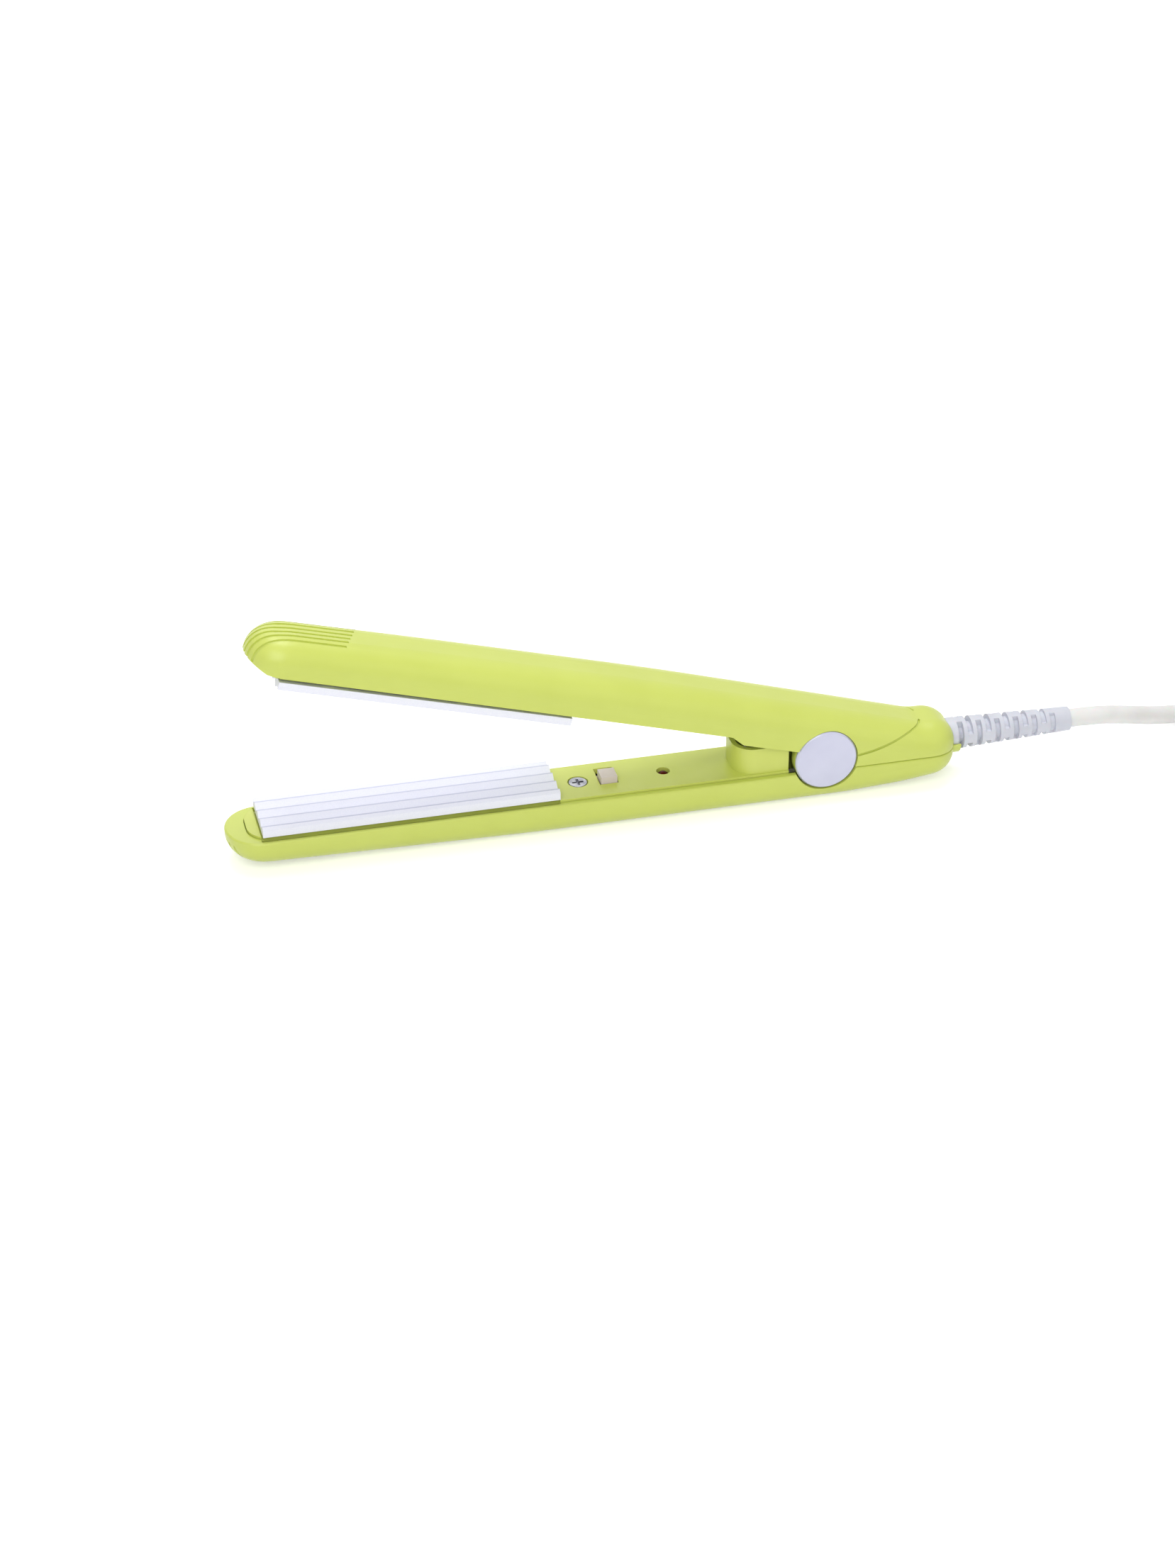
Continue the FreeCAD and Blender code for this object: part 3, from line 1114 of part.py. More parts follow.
def make_switch():
    """Slide switch under the cover and its button."""
    body = box("switch_block", (-SLOT_MIDDLE - S.switch_width / 2, -SLOT_MIDDLE + S.switch_width / 2),
               (SWITCH_MIDDLE - S.switch_length / 2, SWITCH_MIDDLE + S.switch_length / 2),
               (SWITCH_TOP, SWITCH_BACK))
    half_peg = S.peg_width / 2 + S.slide_play
    slot = box("peg_slot", (-SLOT_MIDDLE - half_peg, -SLOT_MIDDLE + half_peg),
               (BUTTON_MIDDLE - TRAVEL - S.peg_length / 2 - S.slide_play,
                BUTTON_MIDDLE + S.peg_length / 2 + S.slide_play),
               (SWITCH_TOP - 1, SWITCH_TOP + S.peg_depth + S.slide_play))
    lower_node("slide_switch", cut("switch", body, slot))
    terminals = []
    half_thick = S.terminal_thick / 2
    for count in (-1, 0, 1):
        middle = SWITCH_MIDDLE + count * S.terminal_pitch
        terminals.append(box(f"terminal_{count + 1}",
                             (-SLOT_MIDDLE - half_thick, -SLOT_MIDDLE + half_thick),
                             (middle - S.terminal_width / 2, middle + S.terminal_width / 2),
                             (SWITCH_BACK, SWITCH_BACK + S.terminal_length)))
    lower_node("switch_terminals", group("terminals", *terminals))
    flange_face = COVER_BACK + S.slide_play
    flange_back = flange_face + S.button_flange_thick
    front = -S.slot_front + S.button_side_play
    rear = -S.slot_rear - S.button_side_play
    low = BUTTON_MIDDLE - S.button_length / 2
    high = BUTTON_MIDDLE + S.button_length / 2
    top = box("button_top", (front, rear), (low, high), (S.cover_face - S.button_rise, flange_back))
    flange = box("button_flange", (front - S.button_flange, rear + S.button_flange),
                 (low - S.button_flange_reach, high + S.button_flange_reach), (flange_face, flange_back))
    peg = box("button_peg", (-SLOT_MIDDLE - S.peg_width / 2, -SLOT_MIDDLE + S.peg_width / 2),
              (BUTTON_MIDDLE - S.peg_length / 2, BUTTON_MIDDLE + S.peg_length / 2),
              (flange_face, SWITCH_TOP + S.peg_depth))
    lower_node("switch_button", fuse("button", top, flange, peg))


def make_lamp():
    """Indicator lamp on its little board with a resistor."""
    dome_middle = S.cover_face + S.lamp_sink + S.lamp_radius
    dome = doc.addObject("Part::Sphere", "lamp_dome")
    bind(dome, "Radius", S.lamp_radius)
    bind(dome, "Placement.Base.x", -S.lamp_place)
    bind(dome, "Placement.Base.z", dome_middle)
    stem = cylinder("lamp_stem", S.lamp_radius, "z", (dome_middle, BOARD_FACE), x=-S.lamp_place)
    flange = cylinder("lamp_flange_disc", S.lamp_flange, "z",
                      (BOARD_FACE - S.board_thick, BOARD_FACE), x=-S.lamp_place)
    lower_node("indicator_lamp", fuse("lamp", dome, stem, flange))
    board = (
        (-S.board_front, -S.board_half), (-S.board_rear, -S.board_half),
        (-S.board_rear, S.board_half), (-S.board_front, S.board_half),
    )
    plate = pad("board", "z", board, (BOARD_FACE, BOARD_FACE + S.board_thick))
    lower_node("lamp_board", plate)
    span = (-S.board_front + S.resistor_radius, -S.board_front + S.resistor_radius + S.resistor_length)
    across = S.board_half - 2 * S.resistor_radius
    rod = cylinder("resistor_rod", S.resistor_radius, "x", span, y=across, z=BOARD_FACE - S.resistor_radius)
    lower_node("lamp_resistor", group("resistor", rod))


def make_wiring():
    """Thermal fuse and the inner leads of both arms."""
    span = (-S.fuse_front, -S.fuse_front + S.fuse_length)
    rod = cylinder("fuse_rod", S.fuse_radius, "x", span, y=S.fuse_side, z=S.fuse_depth)
    lower_node("thermal_fuse", group("fuse", rod))
    radius = S.lead_radius
    supply = [
        solid("live_lead", lead("live_lead", SUPPLY_LIVE, radius)),
        solid("neutral_lead", lead("neutral_lead", SUPPLY_NEUTRAL, radius)),
    ]
    lower_node("supply_leads", group("supply", *supply))
    heater = [
        solid("fuse_lead", lead("fuse_lead", from_heater(LOWER_HEATER_TO_FUSE), radius)),
        solid("switch_lead", lead("switch_lead", from_heater(LOWER_HEATER_TO_SWITCH), radius)),
    ]
    lower_node("lower_heater_leads", group("lower_leads", *heater))
    jumps = [
        solid("jumper", lead("jumper", JUMPERS, radius)),
        solid("other_jumper", lead("other_jumper", mirrored(JUMPERS), radius)),
    ]
    lower_node("jumper_leads", group("jumpers", *jumps))
    points = from_heater(UPPER_HEATER_LEAD)
    upper = [
        solid("upper_lead", lead("upper_lead", points, radius)),
        solid("other_upper_lead", lead("other_upper_lead", mirrored(points), radius)),
    ]
    upper_node("upper_heater_leads", group("upper_leads", *upper))


def make_cord_entry():
    """Strain relief, the cord's end inside the tail, and the clamp that holds it."""
    flange_x = (RELIEF_BACK, RELIEF_BACK + S.relief_flange_thick)
    tip = S.tail_reach + S.relief_length
    flange = cylinder("relief_flange_disc", S.relief_flange, "x", flange_x, z=S.cord_axis)
    neck_end = S.tail_reach + S.lip_length
    neck = cylinder("relief_neck", S.relief_radius, "x", (flange_x[0], neck_end), z=S.cord_axis)
    taper = cone("relief_taper", S.relief_radius, S.relief_tip_radius, "x", (neck_end, tip), z=S.cord_axis)
    gaps = []
    webs = []
    wide = S.relief_radius + 1
    for count in range(int(S.relief_rings)):
        start = S.tail_reach + S.relief_first + count * S.relief_ring_pitch
        span = (start, start + S.relief_ring_width)
        gaps.append(cylinder(f"relief_gap_{count}", wide, "x", span, z=S.cord_axis))
        web = S.relief_bridge / 2
        across, up = (web, wide) if count % 2 == 0 else (wide, web)
        deep = (S.cord_axis - up, S.cord_axis + up)
        webs.append(box(f"relief_web_{count}", span, (-across, across), deep))
    core = cylinder("relief_core_rod", S.relief_core, "x", (S.tail_reach, tip), z=S.cord_axis)
    gap_rings = cut("relief_gaps", group("relief_discs", *gaps), core, *webs)
    relief = cut("relief", fuse("relief_whole", flange, neck, taper), gap_rings)
    lower_node("strain_relief", relief)
    rod = cylinder("cord_rod", S.cord_radius, "x", (S.cord_end, RELIEF_BACK), z=S.cord_axis)
    lower_node("cord_inner_end", group("inner_end", rod))
    clamp_x = (S.clamp_place - S.clamp_length / 2, S.clamp_place + S.clamp_length / 2)
    top = CORD_TOP - S.clamp_thick
    bar = box("clamp_bar", clamp_x, (-S.clamp_half, S.clamp_half), (top, CORD_TOP))
    holes = []
    screws = []
    for side in (-1, 1):
        middle = side * S.clamp_screw_side
        tag = len(screws)
        holes.append(cylinder(f"clamp_hole_{tag}", S.clamp_screw_radius + S.screw_play, "z",
                              (top - 1, CORD_TOP + 1), x=S.clamp_place, y=middle))
        head = cylinder(f"clamp_head_{tag}", S.clamp_screw_head, "z",
                        (top - S.clamp_screw_head_thick, top), x=S.clamp_place, y=middle)
        shank = cylinder(f"clamp_shank_{tag}", S.clamp_screw_radius, "z",
                         (top - S.clamp_screw_head_thick, CORD_TOP + S.clamp_screw_reach),
                         x=S.clamp_place, y=middle)
        screws.append(fuse(f"clamp_screw_{tag}", head, shank))
    lower_node("cord_clamp", cut("clamp", bar, *holes))
    lower_node("cord_clamp_screws", group("clamp_screws", *screws))


def hank_plan(left, right, middle, half):
    """Plan view of the hank, a bar with round ends drawn in at its waist, and the waist's half."""
    waist = half - S.coil_waist
    run = S.coil_run / 2
    slope = math.atan2(run, waist) - math.acos(half / math.hypot(run, waist))
    corner = half / math.tan(math.pi / 4 - slope / 2)
    side = ((left, corner, half), ((left + right) / 2, waist, S.coil_waist_round), (right, corner, half))
    plan = [(x, -y, radius) for x, y, radius in side] + list(reversed(side))
    spots = [Vector(x, middle + y, 0) for x, y, radius in plan]
    outline = smooth_wire(spots, [point[2] for point in plan], True)
    return Part.Face(outline), waist + S.coil_waist_round * (1 / math.cos(slope) - 1)


def make_hank(start, high):
    """Plain outer shape of the hank with the cord's two straight ends, and the tie round it."""
    low = start.z
    left = start.x + S.coil_stub
    right = left + S.coil_run
    half = float(S.coil_fold + S.cord_radius + S.coil_skin)
    middle = start.y - S.coil_fold
    under = low - S.cord_radius - S.coil_skin
    over = high + S.cord_radius + S.coil_skin
    plan, waist = hank_plan(left - half, right + half, middle, half)
    plan.translate(Vector(0, 0, under))
    hank = solid("hank_block", plan.extrude(Vector(0, 0, over - under)))
    entry = cylinder("hank_entry", S.cord_radius, "x", (start.x, left), y=start.y, z=low)
    leaving = cylinder("hank_exit", S.cord_radius, "x", (right, right + S.coil_stub), y=start.y, z=high)
    add_node("cord_coil", fuse("coil", hank, entry, leaving))
    across = waist + S.tie_width * S.tie_width / S.coil_waist_round / 8 + S.tie_gap
    along = ((left + right - S.tie_width) / 2, (left + right + S.tie_width) / 2)
    outer = across + S.tie_thick
    band = box("tie_band", along, (middle - outer, middle + outer),
               (under - S.tie_gap - S.tie_thick, over + S.tie_gap + S.tie_thick))
    room = box("tie_room", (along[0] - 1, along[1] + 1), (middle - across, middle + across),
               (under - S.tie_gap, over + S.tie_gap))
    add_node("coil_tie", cut("tie", band, room))
    return Vector(right + S.coil_stub, start.y, high)


def make_cord():
    """Free cord: the stretch to the hank, the hank, the stretch to the plug, and the plug."""
    exit_x = S.tail_reach + S.relief_length
    exit_z = S.lower_back - S.cord_axis
    low = S.coil_lift + S.cord_radius
    high = low + (S.coil_layers - 1) * S.coil_pitch
    route = [(exit_x + x, y, low + (exit_z - low) * share) for x, y, share in CORD_LEAD]
    add_node("cord_lead", solid("lead_tube", lead("cord_lead", route, S.cord_radius)))
    end = make_hank(Vector(*route[-1]), high)
    plug_z = S.plug_thick / 2 + S.floor_gap
    out = [(end.x + x, end.y + y, plug_z + (high - plug_z) * share) for x, y, share in CORD_TAIL]
    add_node("cord_tail", solid("tail_tube", lead("cord_tail", out, S.cord_radius)))
    make_plug(Vector(*out[-1]), Vector(*out[-1]) - Vector(*out[-2]))


def make_plug(start, heading):
    """Flat two-pin plug on the table, its pins pointing on along the cord's end."""
    neck_end = float(S.plug_neck_length)
    face = neck_end + S.plug_length
    half = S.plug_width / 2
    neck = S.plug_neck / 2
    waist_x = neck_end + S.plug_length * S.plug_waist_share
    waist = (neck + S.plug_waist_swell, S.plug_waist_round)
    shoulder_x = face - S.plug_length * S.plug_shoulder_share
    side = (
        (neck_end, neck, 0), (waist_x, *waist),
        (shoulder_x, half, S.plug_shoulder_round), (face, half, S.plug_round),
    )
    plan = [(x, -y, radius) for x, y, radius in side] + list(reversed(side))
    spots = [Vector(x, y, -S.plug_thick / 2) for x, y, radius in plan]
    outline = smooth_wire(spots, [point[2] for point in plan], True)
    body = Part.Face(outline).extrude(Vector(0, 0, S.plug_thick))
    level = []
    for edge in body.Edges:
        is_level = edge.BoundBox.ZLength < EDGE_TOLERANCE
        if is_level and edge.BoundBox.XMax > neck_end + EDGE_TOLERANCE + S.plug_overlap:
            level.append(edge)
    body = body.makeFillet(float(S.plug_round), level)
    reach = neck_end + S.plug_overlap * 4
    along = Vector(1, 0, 0)
    whole = body.fuse(Part.makeCone(S.plug_neck_tip, S.plug_neck_root, reach, Vector(), along))
    pins = []
    for across in (-S.plug_pin_pitch / 2, S.plug_pin_pitch / 2):
        foot = Vector(face - S.plug_overlap, across, 0)
        long = S.plug_sleeve_length + S.plug_overlap
        whole = whole.fuse(Part.makeCylinder(S.plug_sleeve_radius, long, foot, along))
        foot = Vector(face + S.plug_sleeve_length, across, 0)
        pin = Part.makeCylinder(S.plug_pin_radius, S.plug_pin_length, foot, along)
        tip = foot.x + S.plug_pin_length
        rounded = [edge for edge in pin.Edges if abs(edge.CenterOfMass.x - tip) < EDGE_TOLERANCE]
        pins.append(pin.makeFillet(float(S.plug_pin_round), rounded))
    for name, shape in (
        ("plug_body", whole.removeSplitter()), ("plug_pins", Part.makeCompound(pins)),
    ):
        thing = solid(f"{name}_form", shape)
        thing.Placement = Placement(start, Rotation(Vector(1, 0, 0), heading))
        add_node(name, thing)


make_lower_casing()
make_upper_casing()
make_lower_cover()
make_upper_cover()
for prefix, keep in (("lower", lower_node), ("upper", upper_node)):
    make_plate(prefix, keep)
    make_heater(prefix, keep)
    make_plate_fixings(prefix, keep)
    make_cover_screw(prefix, keep)
make_hinge()
make_spring()
make_switch()
make_lamp()
make_wiring()
make_cord_entry()
make_cord()
doc.recompute()

failed = [thing.Name for thing in doc.Objects if "Invalid" in thing.State or "Error" in thing.State]
failed += [thing.Label for thing in nodes if thing.Shape.isNull() or not thing.Shape.isValid()]
if failed:
    raise SystemExit(f"these objects failed: {failed}")

os.makedirs("parts", exist_ok=True)
for thing in nodes:
    thing.Shape.exportStep(f"parts/{thing.Label}.step")
    box_of = thing.Shape.BoundBox
    print(f"{thing.Label}: {len(thing.Shape.Solids)} solids, {thing.Shape.Volume:.1f} mm3, "
          f"x {box_of.XMin:.1f} {box_of.XMax:.1f} y {box_of.YMin:.1f} {box_of.YMax:.1f} "
          f"z {box_of.ZMin:.2f} {box_of.ZMax:.2f}")
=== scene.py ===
import math

import bpy
from mathutils import Matrix, Vector


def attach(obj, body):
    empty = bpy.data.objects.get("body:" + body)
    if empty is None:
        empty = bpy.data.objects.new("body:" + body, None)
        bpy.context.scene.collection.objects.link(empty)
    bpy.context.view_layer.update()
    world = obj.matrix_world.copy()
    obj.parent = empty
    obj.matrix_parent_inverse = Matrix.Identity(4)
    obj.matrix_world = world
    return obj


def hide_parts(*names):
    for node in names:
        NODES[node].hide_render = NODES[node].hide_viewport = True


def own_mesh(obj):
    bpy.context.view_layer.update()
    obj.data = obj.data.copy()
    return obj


# Small hand-held hair crimper, open as it lies on its back on a white table.
# Lengths are in metres, and MM turns a size in millimetres into metres.
MM = 0.001

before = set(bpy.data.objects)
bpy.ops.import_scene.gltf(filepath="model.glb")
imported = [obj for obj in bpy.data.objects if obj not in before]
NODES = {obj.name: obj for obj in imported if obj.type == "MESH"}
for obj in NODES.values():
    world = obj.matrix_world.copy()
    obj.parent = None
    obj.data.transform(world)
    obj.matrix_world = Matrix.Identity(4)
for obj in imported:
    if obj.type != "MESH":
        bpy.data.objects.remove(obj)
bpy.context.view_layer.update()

# Camera of the photograph: its direction and distance from the hinge axis, its shift aside and
# up, the focal length and picture height in pixels, and the sensor's longer side in millimetres.
HINGE = Vector((0, 0, 11.9 * MM))
CAMERA_AZIMUTH = math.radians(13.75)
CAMERA_HEIGHT = math.radians(31.7)
CAMERA_DISTANCE = 850 * MM
CAMERA_ASIDE = -54.45 * MM
CAMERA_UP = -9.87 * MM
PHOTO_FOCAL = 5036
PHOTO_HEIGHT = 2212
SENSOR = 36.0

# The free cord: from the strain relief to the hank, and from the hank to the plug.
CORD_RADIUS = 2.25 * MM
CORD_LEAD = (
    (0.0635, 0.0, 0.0097), (0.0705, 0.0, 0.0097), (0.0778, 0.001, 0.0082),
    (0.088, 0.0049, 0.0042), (0.0952, 0.0062, 0.003), (0.1022, 0.0062, 0.003),
)
CORD_TAIL = (
    (0.1962, 0.0062, 0.017), (0.2032, 0.0062, 0.017), (0.2103, 0.0058, 0.015),
    (0.22, 0.0038, 0.0089), (0.227, 0.0019, 0.0069), (0.2336, -0.0003, 0.0069),
)

# The hank: its folds' middles along X, its first run, its three fold sizes and its layers.
LEFT_FOLD = 116.2 * MM
RIGHT_FOLD = 182.2 * MM
HANK_START = 6.2 * MM
OUTER_FOLD = 18.2 * MM
MIDDLE_FOLD = 15.85 * MM
INNER_FOLD = 13.5 * MM
LOWEST_LAYER = 2.95 * MM
LAYER_PITCH = 4.7 * MM
HANK_LAYERS = 4
WAIST_DRAW = 2.2 * MM
POINTS_PER_FOLD = 8
POINTS_PER_RUN = 6

# The return spring in its collar: its axis, its two ends, its mean radius, the wire's radius,
# the turns, those that lie flat at each end, and the steps and sides of the wire's mesh.
SPRING_X = -15.2 * MM
SPRING_LOW = 3.03 * MM
SPRING_HIGH = 16.47 * MM
SPRING_RADIUS = 2.65 * MM
SPRING_WIRE = 0.3 * MM
SPRING_TURNS = 7.5
SPRING_FLAT_TURNS = 1.0
SPRING_STEPS = 360
SPRING_SIDES = 8

# The white table: half its side, and how strongly it shines where it is seen near and far.
FLOOR_HALF = 4.0
FLOOR_NEAR = 0.3
FLOOR_FAR = 0.9
FLOOR_SHINE_NEAR = 0.42
FLOOR_SHINE_FAR = 1.0

# The white surroundings: their strength as a light, and where they are seen.
WORLD_AS_LIGHT = 0.34
WORLD_SEEN = 1.0

# Soft square lamps, all aimed at one point of the crimper: name, place, side and power.
LAMP_TARGET = (-0.05, 0, 0.02)
LAMPS = (
    ("key_light", (-0.3, -0.6, 0.55), 0.5, 2.95),
    ("top_light", (0.0, 0.2, 0.9), 0.5, 4.05),
    ("fill_light", (0.5, -0.6, 0.4), 0.6, 0.5),
    ("back_light", (-0.1, 0.7, 0.5), 0.6, 0.8),
)


def link(thing):
    """Put a new object in the scene."""
    bpy.context.scene.collection.objects.link(thing)
    return thing


class Shader:
    """A material and the nodes that build it."""

    def __init__(self, name):
        self.name = name
        self.material = bpy.data.materials.new(name)
        self.material.use_nodes = True
        self.tree = self.material.node_tree
        self.surface = self.tree.nodes["Principled BSDF"]
        place = self.tree.nodes.new("ShaderNodeTexCoord")
        self.place = place.outputs["Object"]
        self.normal = place.outputs["Normal"]

    def node(self, kind, **values):
        """A node of this kind, its plain settings and unlinked sockets filled in."""
        made = self.tree.nodes.new(kind)
        for name, value in values.items():
            if hasattr(made, name):
                setattr(made, name, value)
            else:
                made.inputs[name.replace("_", " ").title()].default_value = value
        return made

    def join(self, out, into):
        """Link two sockets."""
        self.tree.links.new(out, into)

    def noise(self, size, detail=3.0):
        """Noise whose features are about this large."""
        made = self.node("ShaderNodeTexNoise", scale=1 / size, detail=detail)
        self.join(self.place, made.inputs["Vector"])
        return made.outputs["Fac"]

    def spread(self, value, low, high, start=0.3, end=0.7):
        """A value stretched between two limits."""
        made = self.node("ShaderNodeMapRange")
        limits = (("From Min", start), ("From Max", end), ("To Min", low), ("To Max", high))
        for name, number in limits:
            made.inputs[name].default_value = number
        self.join(value, made.inputs["Value"])
        return made.outputs["Result"]

    def level(self):
        """How far the surface faces straight up or down, from 0 to 1."""
        parts = self.node("ShaderNodeSeparateXYZ")
        self.join(self.normal, parts.inputs["Vector"])
        made = self.node("ShaderNodeMath", operation="ABSOLUTE")
        self.join(parts.outputs["Z"], made.inputs[0])
        return made.outputs["Value"]

    def blend(self, share, first, second):
        """A colour between two colours or colour sockets."""
        made = self.node("ShaderNodeMix", data_type="RGBA")
        self.join(share, made.inputs["Factor"])
        for name, colour in (("A", first), ("B", second)):
            socket = next(item for item in made.inputs
                          if item.name == name and item.type == "RGBA")
            if isinstance(colour, tuple):
                socket.default_value = (*colour, 1)
            else:
                self.join(colour, socket)
        return next(item for item in made.outputs if item.type == "RGBA")

    def bump(self, height, depth, strength=1.0, edge=0.12 * MM):
        """Tie the surface's normal to a height of this depth, with its edges rounded off."""
        made = self.node("ShaderNodeBump", strength=strength, distance=depth)
        softened = self.node("ShaderNodeBevel", samples=4, radius=edge)
        self.join(softened.outputs["Normal"], made.inputs["Normal"])
        self.join(height, made.inputs["Height"])
        self.join(made.outputs["Normal"], self.surface.inputs["Normal"])

    def fixed(self, **values):
        """Constants on the surface's own sockets."""
        for name, value in values.items():
            self.surface.inputs[name.replace("_", " ")].default_value = value


def srgb(red, green, blue):
    """A colour as it looks on screen, made linear."""
    linear = []
    for value in (red, green, blue):
        share = value / 255
        linear.append(share / 12.92 if share <= 0.04045 else ((share + 0.055) / 1.055) ** 2.4)
    return tuple(linear)


def moulded(name, colour, other, patch=9 * MM, rough=(0.3, 0.42), grain=0.35 * MM,
            depth=0.006 * MM, gloss_size=None, gloss_detail=3.0):
    """Moulded plastic: slow colour drift, uneven gloss and a fine grain.

    The gloss varies over a fifth of the colour's patch where it isn't given a size.
    """
    shader = Shader(name)
    drift = shader.blend(shader.spread(shader.noise(patch), 0.0, 1.0), colour, other)
    shader.join(drift, shader.surface.inputs["Base Color"])
    gloss = shader.spread(shader.noise(gloss_size or patch / 5, gloss_detail), *rough)
    shader.join(gloss, shader.surface.inputs["Roughness"])
    shader.bump(shader.noise(grain, 2.0), depth, 0.5)
    return shader


def lime_plastic(name, colour, other):
    """The glossy, slightly see-through lime of the casings."""
    shader = moulded(name, colour, other, patch=14 * MM, rough=(0.3, 0.38), grain=0.5 * MM,
                     depth=0.004 * MM)
    shader.fixed(IOR=1.5, Subsurface_Weight=0.1, Subsurface_Scale=0.8 * MM)
    shader.surface.inputs["Subsurface Radius"].default_value = (1.0, 0.9, 0.3)
    return shader


def bare_metal(name, colour, other):
    """Plain metal with fine marks."""
    shader = moulded(name, colour, other, patch=2 * MM, rough=(0.22, 0.4), grain=0.2 * MM,
                     depth=0.01 * MM, gloss_size=0.25 * MM, gloss_detail=4.0)
    shader.fixed(Metallic=1.0)
    return shader


def plate_coating(name):
    """Pale satin coating with a fine speckle, and painted shade: a deeper lavender-grey on the
    level crest and valley flats between slopes.
    """
    shader = Shader(name)
    fine = shader.spread(shader.noise(0.25 * MM, 2.0), 0.0, 1.0, 0.35, 0.65)
    speckle = shader.blend(fine, srgb(237, 238, 251), srgb(242, 243, 253))
    # Painted shade: the flats that face straight up or down are drawn a deeper lavender-grey for
    # the shade along the ridges.
    painted_shade_on_flats = shader.spread(shader.level(), 0.0, 0.8, 0.86, 0.94)
    coating_with_painted_shade = shader.blend(painted_shade_on_flats, speckle, srgb(202, 204, 226))
    shader.join(coating_with_painted_shade, shader.surface.inputs["Base Color"])
    shader.join(shader.spread(fine, 0.5, 0.62, 0.0, 1.0), shader.surface.inputs["Roughness"])
    shader.bump(shader.noise(0.2 * MM, 2.0), 0.01 * MM, 0.6, 0.05 * MM)
    return shader


def lamp_lens(name):
    """Dark red lens of the lamp, with little reflection so that it doesn't turn grey."""
    shader = moulded(name, srgb(70, 10, 10), srgb(88, 16, 14), patch=1 * MM, rough=(0.2, 0.3))
    shader.fixed(Specular_IOR_Level=0.12, IOR=1.49)
    return shader


def soft_white(name, colour, other, glow=0.35):
    """White flexible plastic of the cord and its strain relief."""
    shader = moulded(name, colour, other, patch=6 * MM, rough=(0.36, 0.5), grain=0.4 * MM)
    shader.fixed(Subsurface_Weight=glow, Subsurface_Scale=1.2 * MM, IOR=1.46)
    return shader


def ceramic(name):
    """Matt ceramic of the heaters."""
    return moulded(name, srgb(226, 220, 206), srgb(205, 198, 184), rough=(0.7, 0.85))


def cap_paint(name):
    """Silvery paint of the hinge caps."""
    shader = moulded(name, srgb(202, 203, 223), srgb(195, 196, 217), rough=(0.3, 0.42))
    shader.fixed(Metallic=0.35)
    return shader


def make_materials():
    """One material for each slot of the record."""
    shaders = (
        lime_plastic("lime_casing", srgb(208, 219, 106), srgb(204, 215, 101)),
        lime_plastic("lime_panel", srgb(210, 219, 110), srgb(206, 215, 104)),
        plate_coating("plate_coating"),
        ceramic("heater_ceramic"),
        moulded("amber_film", srgb(176, 112, 30), srgb(158, 92, 20), rough=(0.15, 0.3)),
        bare_metal("spring_steel", srgb(176, 178, 182), srgb(150, 152, 158)),
        bare_metal("zinc_steel", srgb(176, 176, 182), srgb(124, 126, 134)),
        moulded("soft_pad", srgb(206, 205, 200), srgb(188, 187, 182), rough=(0.75, 0.9)),
        moulded("switch_black", srgb(34, 34, 36), srgb(24, 24, 26), rough=(0.4, 0.55)),
        bare_metal("contact_brass", srgb(204, 172, 96), srgb(182, 148, 76)),
        moulded("button_beige", srgb(230, 218, 221), srgb(220, 207, 209)),
        lamp_lens("lamp_red"),
        moulded("board_green", srgb(30, 92, 52), srgb(22, 74, 42), rough=(0.3, 0.45)),
        moulded("resistor_tan", srgb(204, 176, 132), srgb(186, 156, 112)),
        bare_metal("fuse_case", srgb(198, 200, 204), srgb(172, 175, 180)),
        soft_white("lead_white", srgb(236, 235, 230), srgb(224, 223, 217)),
        cap_paint("cap_silver"),
        moulded("washer_nylon", srgb(226, 224, 214), srgb(214, 211, 200)),
        soft_white("cord_white", srgb(238, 238, 236), srgb(229, 229, 226)),
        soft_white("relief_white", srgb(216, 218, 227), srgb(206, 208, 218), 0.1),
    )
    return {shader.name: shader.material for shader in shaders}


def dress_nodes(materials):
    """Give each CAD node the material of its slot."""
    for thing in NODES.values():
        for place in thing.material_slots:
            place.material = materials[place.material.name.split(".")[0]]


def fold_points(x, start, turn, radius, height):
    """A half turn of the hank at one of its ends, and where it ends across.

    A spline runs a little inside its control points, so they stand that much further out.
    """
    outwards = radius / math.cos(math.pi / (2 * POINTS_PER_FOLD))
    centre = start - turn * radius
    points = []
    for count in range(POINTS_PER_FOLD):
        angle = math.pi * (count + 0.5) / POINTS_PER_FOLD
        along = x + turn * outwards * math.sin(angle)
        points.append((along, centre + turn * outwards * math.cos(angle), height))
    return points, centre - turn * radius


def run_points(first, last, across, low, high):
    """A run between two folds, drawn in towards the middle at the waist."""
    middle = HANK_START - OUTER_FOLD
    inwards = math.copysign(WAIST_DRAW, middle - across)
    points = []
    for count in range(POINTS_PER_RUN):
        share = (count + 0.5) / POINTS_PER_RUN
        drawn = inwards * (1 - math.cos(2 * math.pi * share)) / 2
        rise = (high - low) * (1 - math.cos(math.pi * share)) / 2
        points.append((first + (last - first) * share, across + drawn, low + rise))
    return points


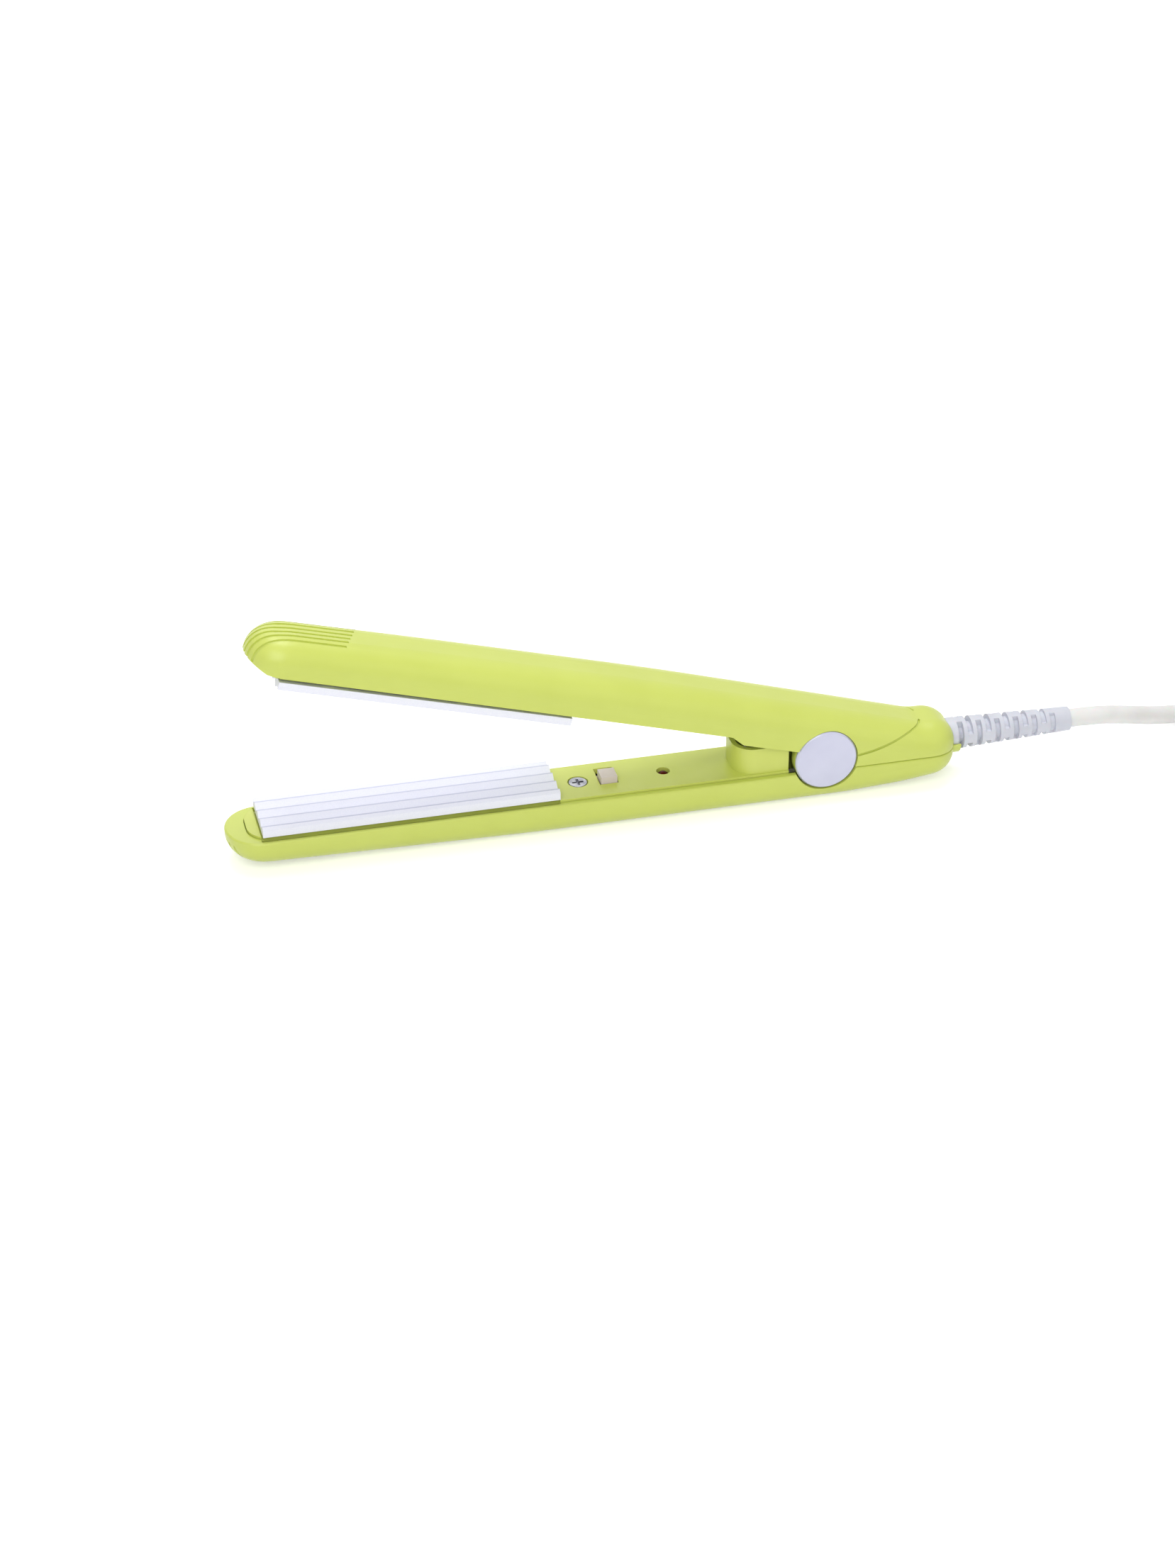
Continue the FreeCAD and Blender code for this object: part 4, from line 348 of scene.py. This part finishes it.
def hank_points():
    """Control points of the hank: loops spiral in and out by turns, and climb along a run.

    A turn of 1 is the fold at the right end, and -1 the one at the left end.
    """
    inwards = (OUTER_FOLD, MIDDLE_FOLD, INNER_FOLD)
    across = HANK_START
    height = LOWEST_LAYER
    points = run_points(LEFT_FOLD, RIGHT_FOLD, across, height, height)
    turn = 1
    for layer in range(HANK_LAYERS):
        radii = inwards if layer % 2 == 0 else inwards[::-1]
        for count, radius in enumerate(radii):
            x = RIGHT_FOLD if turn > 0 else LEFT_FOLD
            fold, across = fold_points(x, across, turn, radius, height)
            points += fold
            top = layer == HANK_LAYERS - 1
            climbs = count == len(radii) - 1 and not top
            above = height + LAYER_PITCH if climbs else height
            other_end = LEFT_FOLD if turn > 0 else RIGHT_FOLD
            points += run_points(x, other_end, across, height, above)
            height = above
            turn = -turn
    return points


def make_cord(materials):
    """The free cord with its hank, as one spline."""
    points = [*CORD_LEAD, *hank_points(), *CORD_TAIL]
    curve = bpy.data.curves.new("cord", "CURVE")
    curve.dimensions = "3D"
    spline = curve.splines.new("NURBS")
    spline.points.add(len(points) - 1)
    for spot, point in zip(spline.points, points):
        spot.co = (*point, 1)
    spline.order_u = 3
    spline.use_endpoint_u = True
    curve.resolution_u = 5
    curve.bevel_depth = CORD_RADIUS
    curve.bevel_resolution = 6
    curve.materials.append(materials["cord_white"])
    cord = link(bpy.data.objects.new("cord", curve))
    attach(cord, "lower_arm")
    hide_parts("cord_lead", "cord_coil", "cord_tail")


def make_spring(materials):
    """The wound return spring, its end turns laid flat on the two seats."""
    steps = SPRING_STEPS
    sides = SPRING_SIDES
    flat = SPRING_FLAT_TURNS
    low = SPRING_LOW + SPRING_WIRE
    rise = SPRING_HIGH - SPRING_WIRE - low
    points = []
    for step in range(steps + 1):
        turn = SPRING_TURNS * step / steps
        live = min(max((turn - flat) / (SPRING_TURNS - 2 * flat), 0), 1)
        end = min(turn, flat) + max(turn - SPRING_TURNS + flat, 0)
        height = low + 2 * SPRING_WIRE * end + (rise - 4 * SPRING_WIRE) * live
        angle = 2 * math.pi * turn
        around = Vector((math.cos(angle), math.sin(angle), 0))
        ring = []
        for side in range(sides):
            lean = 2 * math.pi * side / sides
            out = around * (SPRING_RADIUS + SPRING_WIRE * math.cos(lean))
            ring.append(Vector((SPRING_X, 0, height + SPRING_WIRE * math.sin(lean))) + out)
        points.append(ring)
    faces = [tuple(range(sides)), tuple(steps * sides + side for side in reversed(range(sides)))]
    for step in range(steps):
        for side in range(sides):
            here = step * sides
            beside = (side + 1) % sides
            faces.append((here + beside, here + side, here + sides + side, here + sides + beside))
    mesh = bpy.data.meshes.new("return_spring_coil")
    mesh.from_pydata([tuple(point) for ring in points for point in ring], [], faces)
    mesh.shade_smooth()
    mesh.materials.append(materials["spring_steel"])
    spring = link(bpy.data.objects.new("return_spring_coil", mesh))
    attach(spring, "lower_arm")
    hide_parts("return_spring")
    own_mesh(spring)


def rays_that_see(tree):
    """One where a camera, glossy or transmission ray looks, and zero elsewhere."""
    path = tree.nodes.new("ShaderNodeLightPath")
    found = path.outputs["Is Camera Ray"]
    for name in ("Is Glossy Ray", "Is Transmission Ray"):
        both = tree.nodes.new("ShaderNodeMath")
        both.operation = "MAXIMUM"
        tree.links.new(found, both.inputs[0])
        tree.links.new(path.outputs[name], both.inputs[1])
        found = both.outputs[0]
    return found


def make_floor():
    """White table that keeps the object's soft shadow and is plain white further away."""
    half = FLOOR_HALF
    mesh = bpy.data.meshes.new("floor")
    corners = [(-half, -half, 0), (half, -half, 0), (half, half, 0), (-half, half, 0)]
    mesh.from_pydata(corners, [], [(0, 1, 2, 3)])
    floor = link(bpy.data.objects.new("floor", mesh))
    shader = Shader("white_table")
    grain = shader.blend(shader.noise(2 * MM), srgb(246, 246, 246), srgb(250, 250, 250))
    shader.join(grain, shader.surface.inputs["Base Color"])
    shader.fixed(Roughness=0.9, Emission_Color=(1, 1, 1, 1))
    away = shader.node("ShaderNodeVectorMath", operation="LENGTH")
    shader.join(shader.place, away.inputs[0])
    lift = shader.node("ShaderNodeMath", operation="MULTIPLY")
    shader.join(rays_that_see(shader.tree), lift.inputs[0])
    shine = shader.spread(away.outputs["Value"], FLOOR_SHINE_NEAR, FLOOR_SHINE_FAR,
                          FLOOR_NEAR, FLOOR_FAR)
    shader.join(shine, lift.inputs[1])
    shader.join(lift.outputs[0], shader.surface.inputs["Emission Strength"])
    mesh.materials.append(shader.material)


def make_world():
    """Even white surroundings, plain white where a camera sees them."""
    world = bpy.data.worlds.new("surroundings")
    bpy.context.scene.world = world
    world.use_nodes = True
    tree = world.node_tree
    back = tree.nodes["Background"]
    back.inputs["Color"].default_value = (1, 1, 1, 1)
    level = tree.nodes.new("ShaderNodeMapRange")
    level.inputs["To Min"].default_value = WORLD_AS_LIGHT
    level.inputs["To Max"].default_value = WORLD_SEEN
    tree.links.new(rays_that_see(tree), level.inputs["Value"])
    tree.links.new(level.outputs["Result"], back.inputs["Strength"])


def aim(thing, place, target):
    """Stand a lamp at a place and turn it to a target."""
    facing = (Vector(target) - Vector(place)).to_track_quat("-Z", "Y")
    thing.matrix_world = Matrix.Translation(place) @ facing.to_matrix().to_4x4()


def area_light(name, place, size, power):
    """A soft square lamp aimed at the crimper."""
    light = bpy.data.lights.new(name, "AREA")
    light.shape = "SQUARE"
    light.size = size
    light.energy = power
    aim(link(bpy.data.objects.new(name, light)), place, LAMP_TARGET)


def make_lights():
    """Soft studio lamps: in front on the left, above, and weak ones on the right and behind."""
    for name, place, side, power in LAMPS:
        area_light(name, place, side, power)


def make_camera():
    """The camera of the photograph."""
    away = Vector((
        -math.sin(CAMERA_AZIMUTH) * math.cos(CAMERA_HEIGHT),
        -math.cos(CAMERA_AZIMUTH) * math.cos(CAMERA_HEIGHT),
        math.sin(CAMERA_HEIGHT),
    ))
    right = Vector((math.cos(CAMERA_AZIMUTH), -math.sin(CAMERA_AZIMUTH), 0))
    up = away.cross(right)
    place = HINGE + away * CAMERA_DISTANCE + right * CAMERA_ASIDE + up * CAMERA_UP
    data = bpy.data.cameras.new("camera")
    data.sensor_width = SENSOR
    data.lens = SENSOR * PHOTO_FOCAL / PHOTO_HEIGHT
    camera = link(bpy.data.objects.new("camera", data))
    turn = Matrix((right, up, away)).transposed().to_4x4()
    camera.matrix_world = Matrix.Translation(place) @ turn
    bpy.context.scene.camera = camera


materials = make_materials()
dress_nodes(materials)
make_cord(materials)
make_spring(materials)
make_floor()
make_world()
make_lights()
make_camera()
bpy.context.scene.view_settings.view_transform = "Standard"
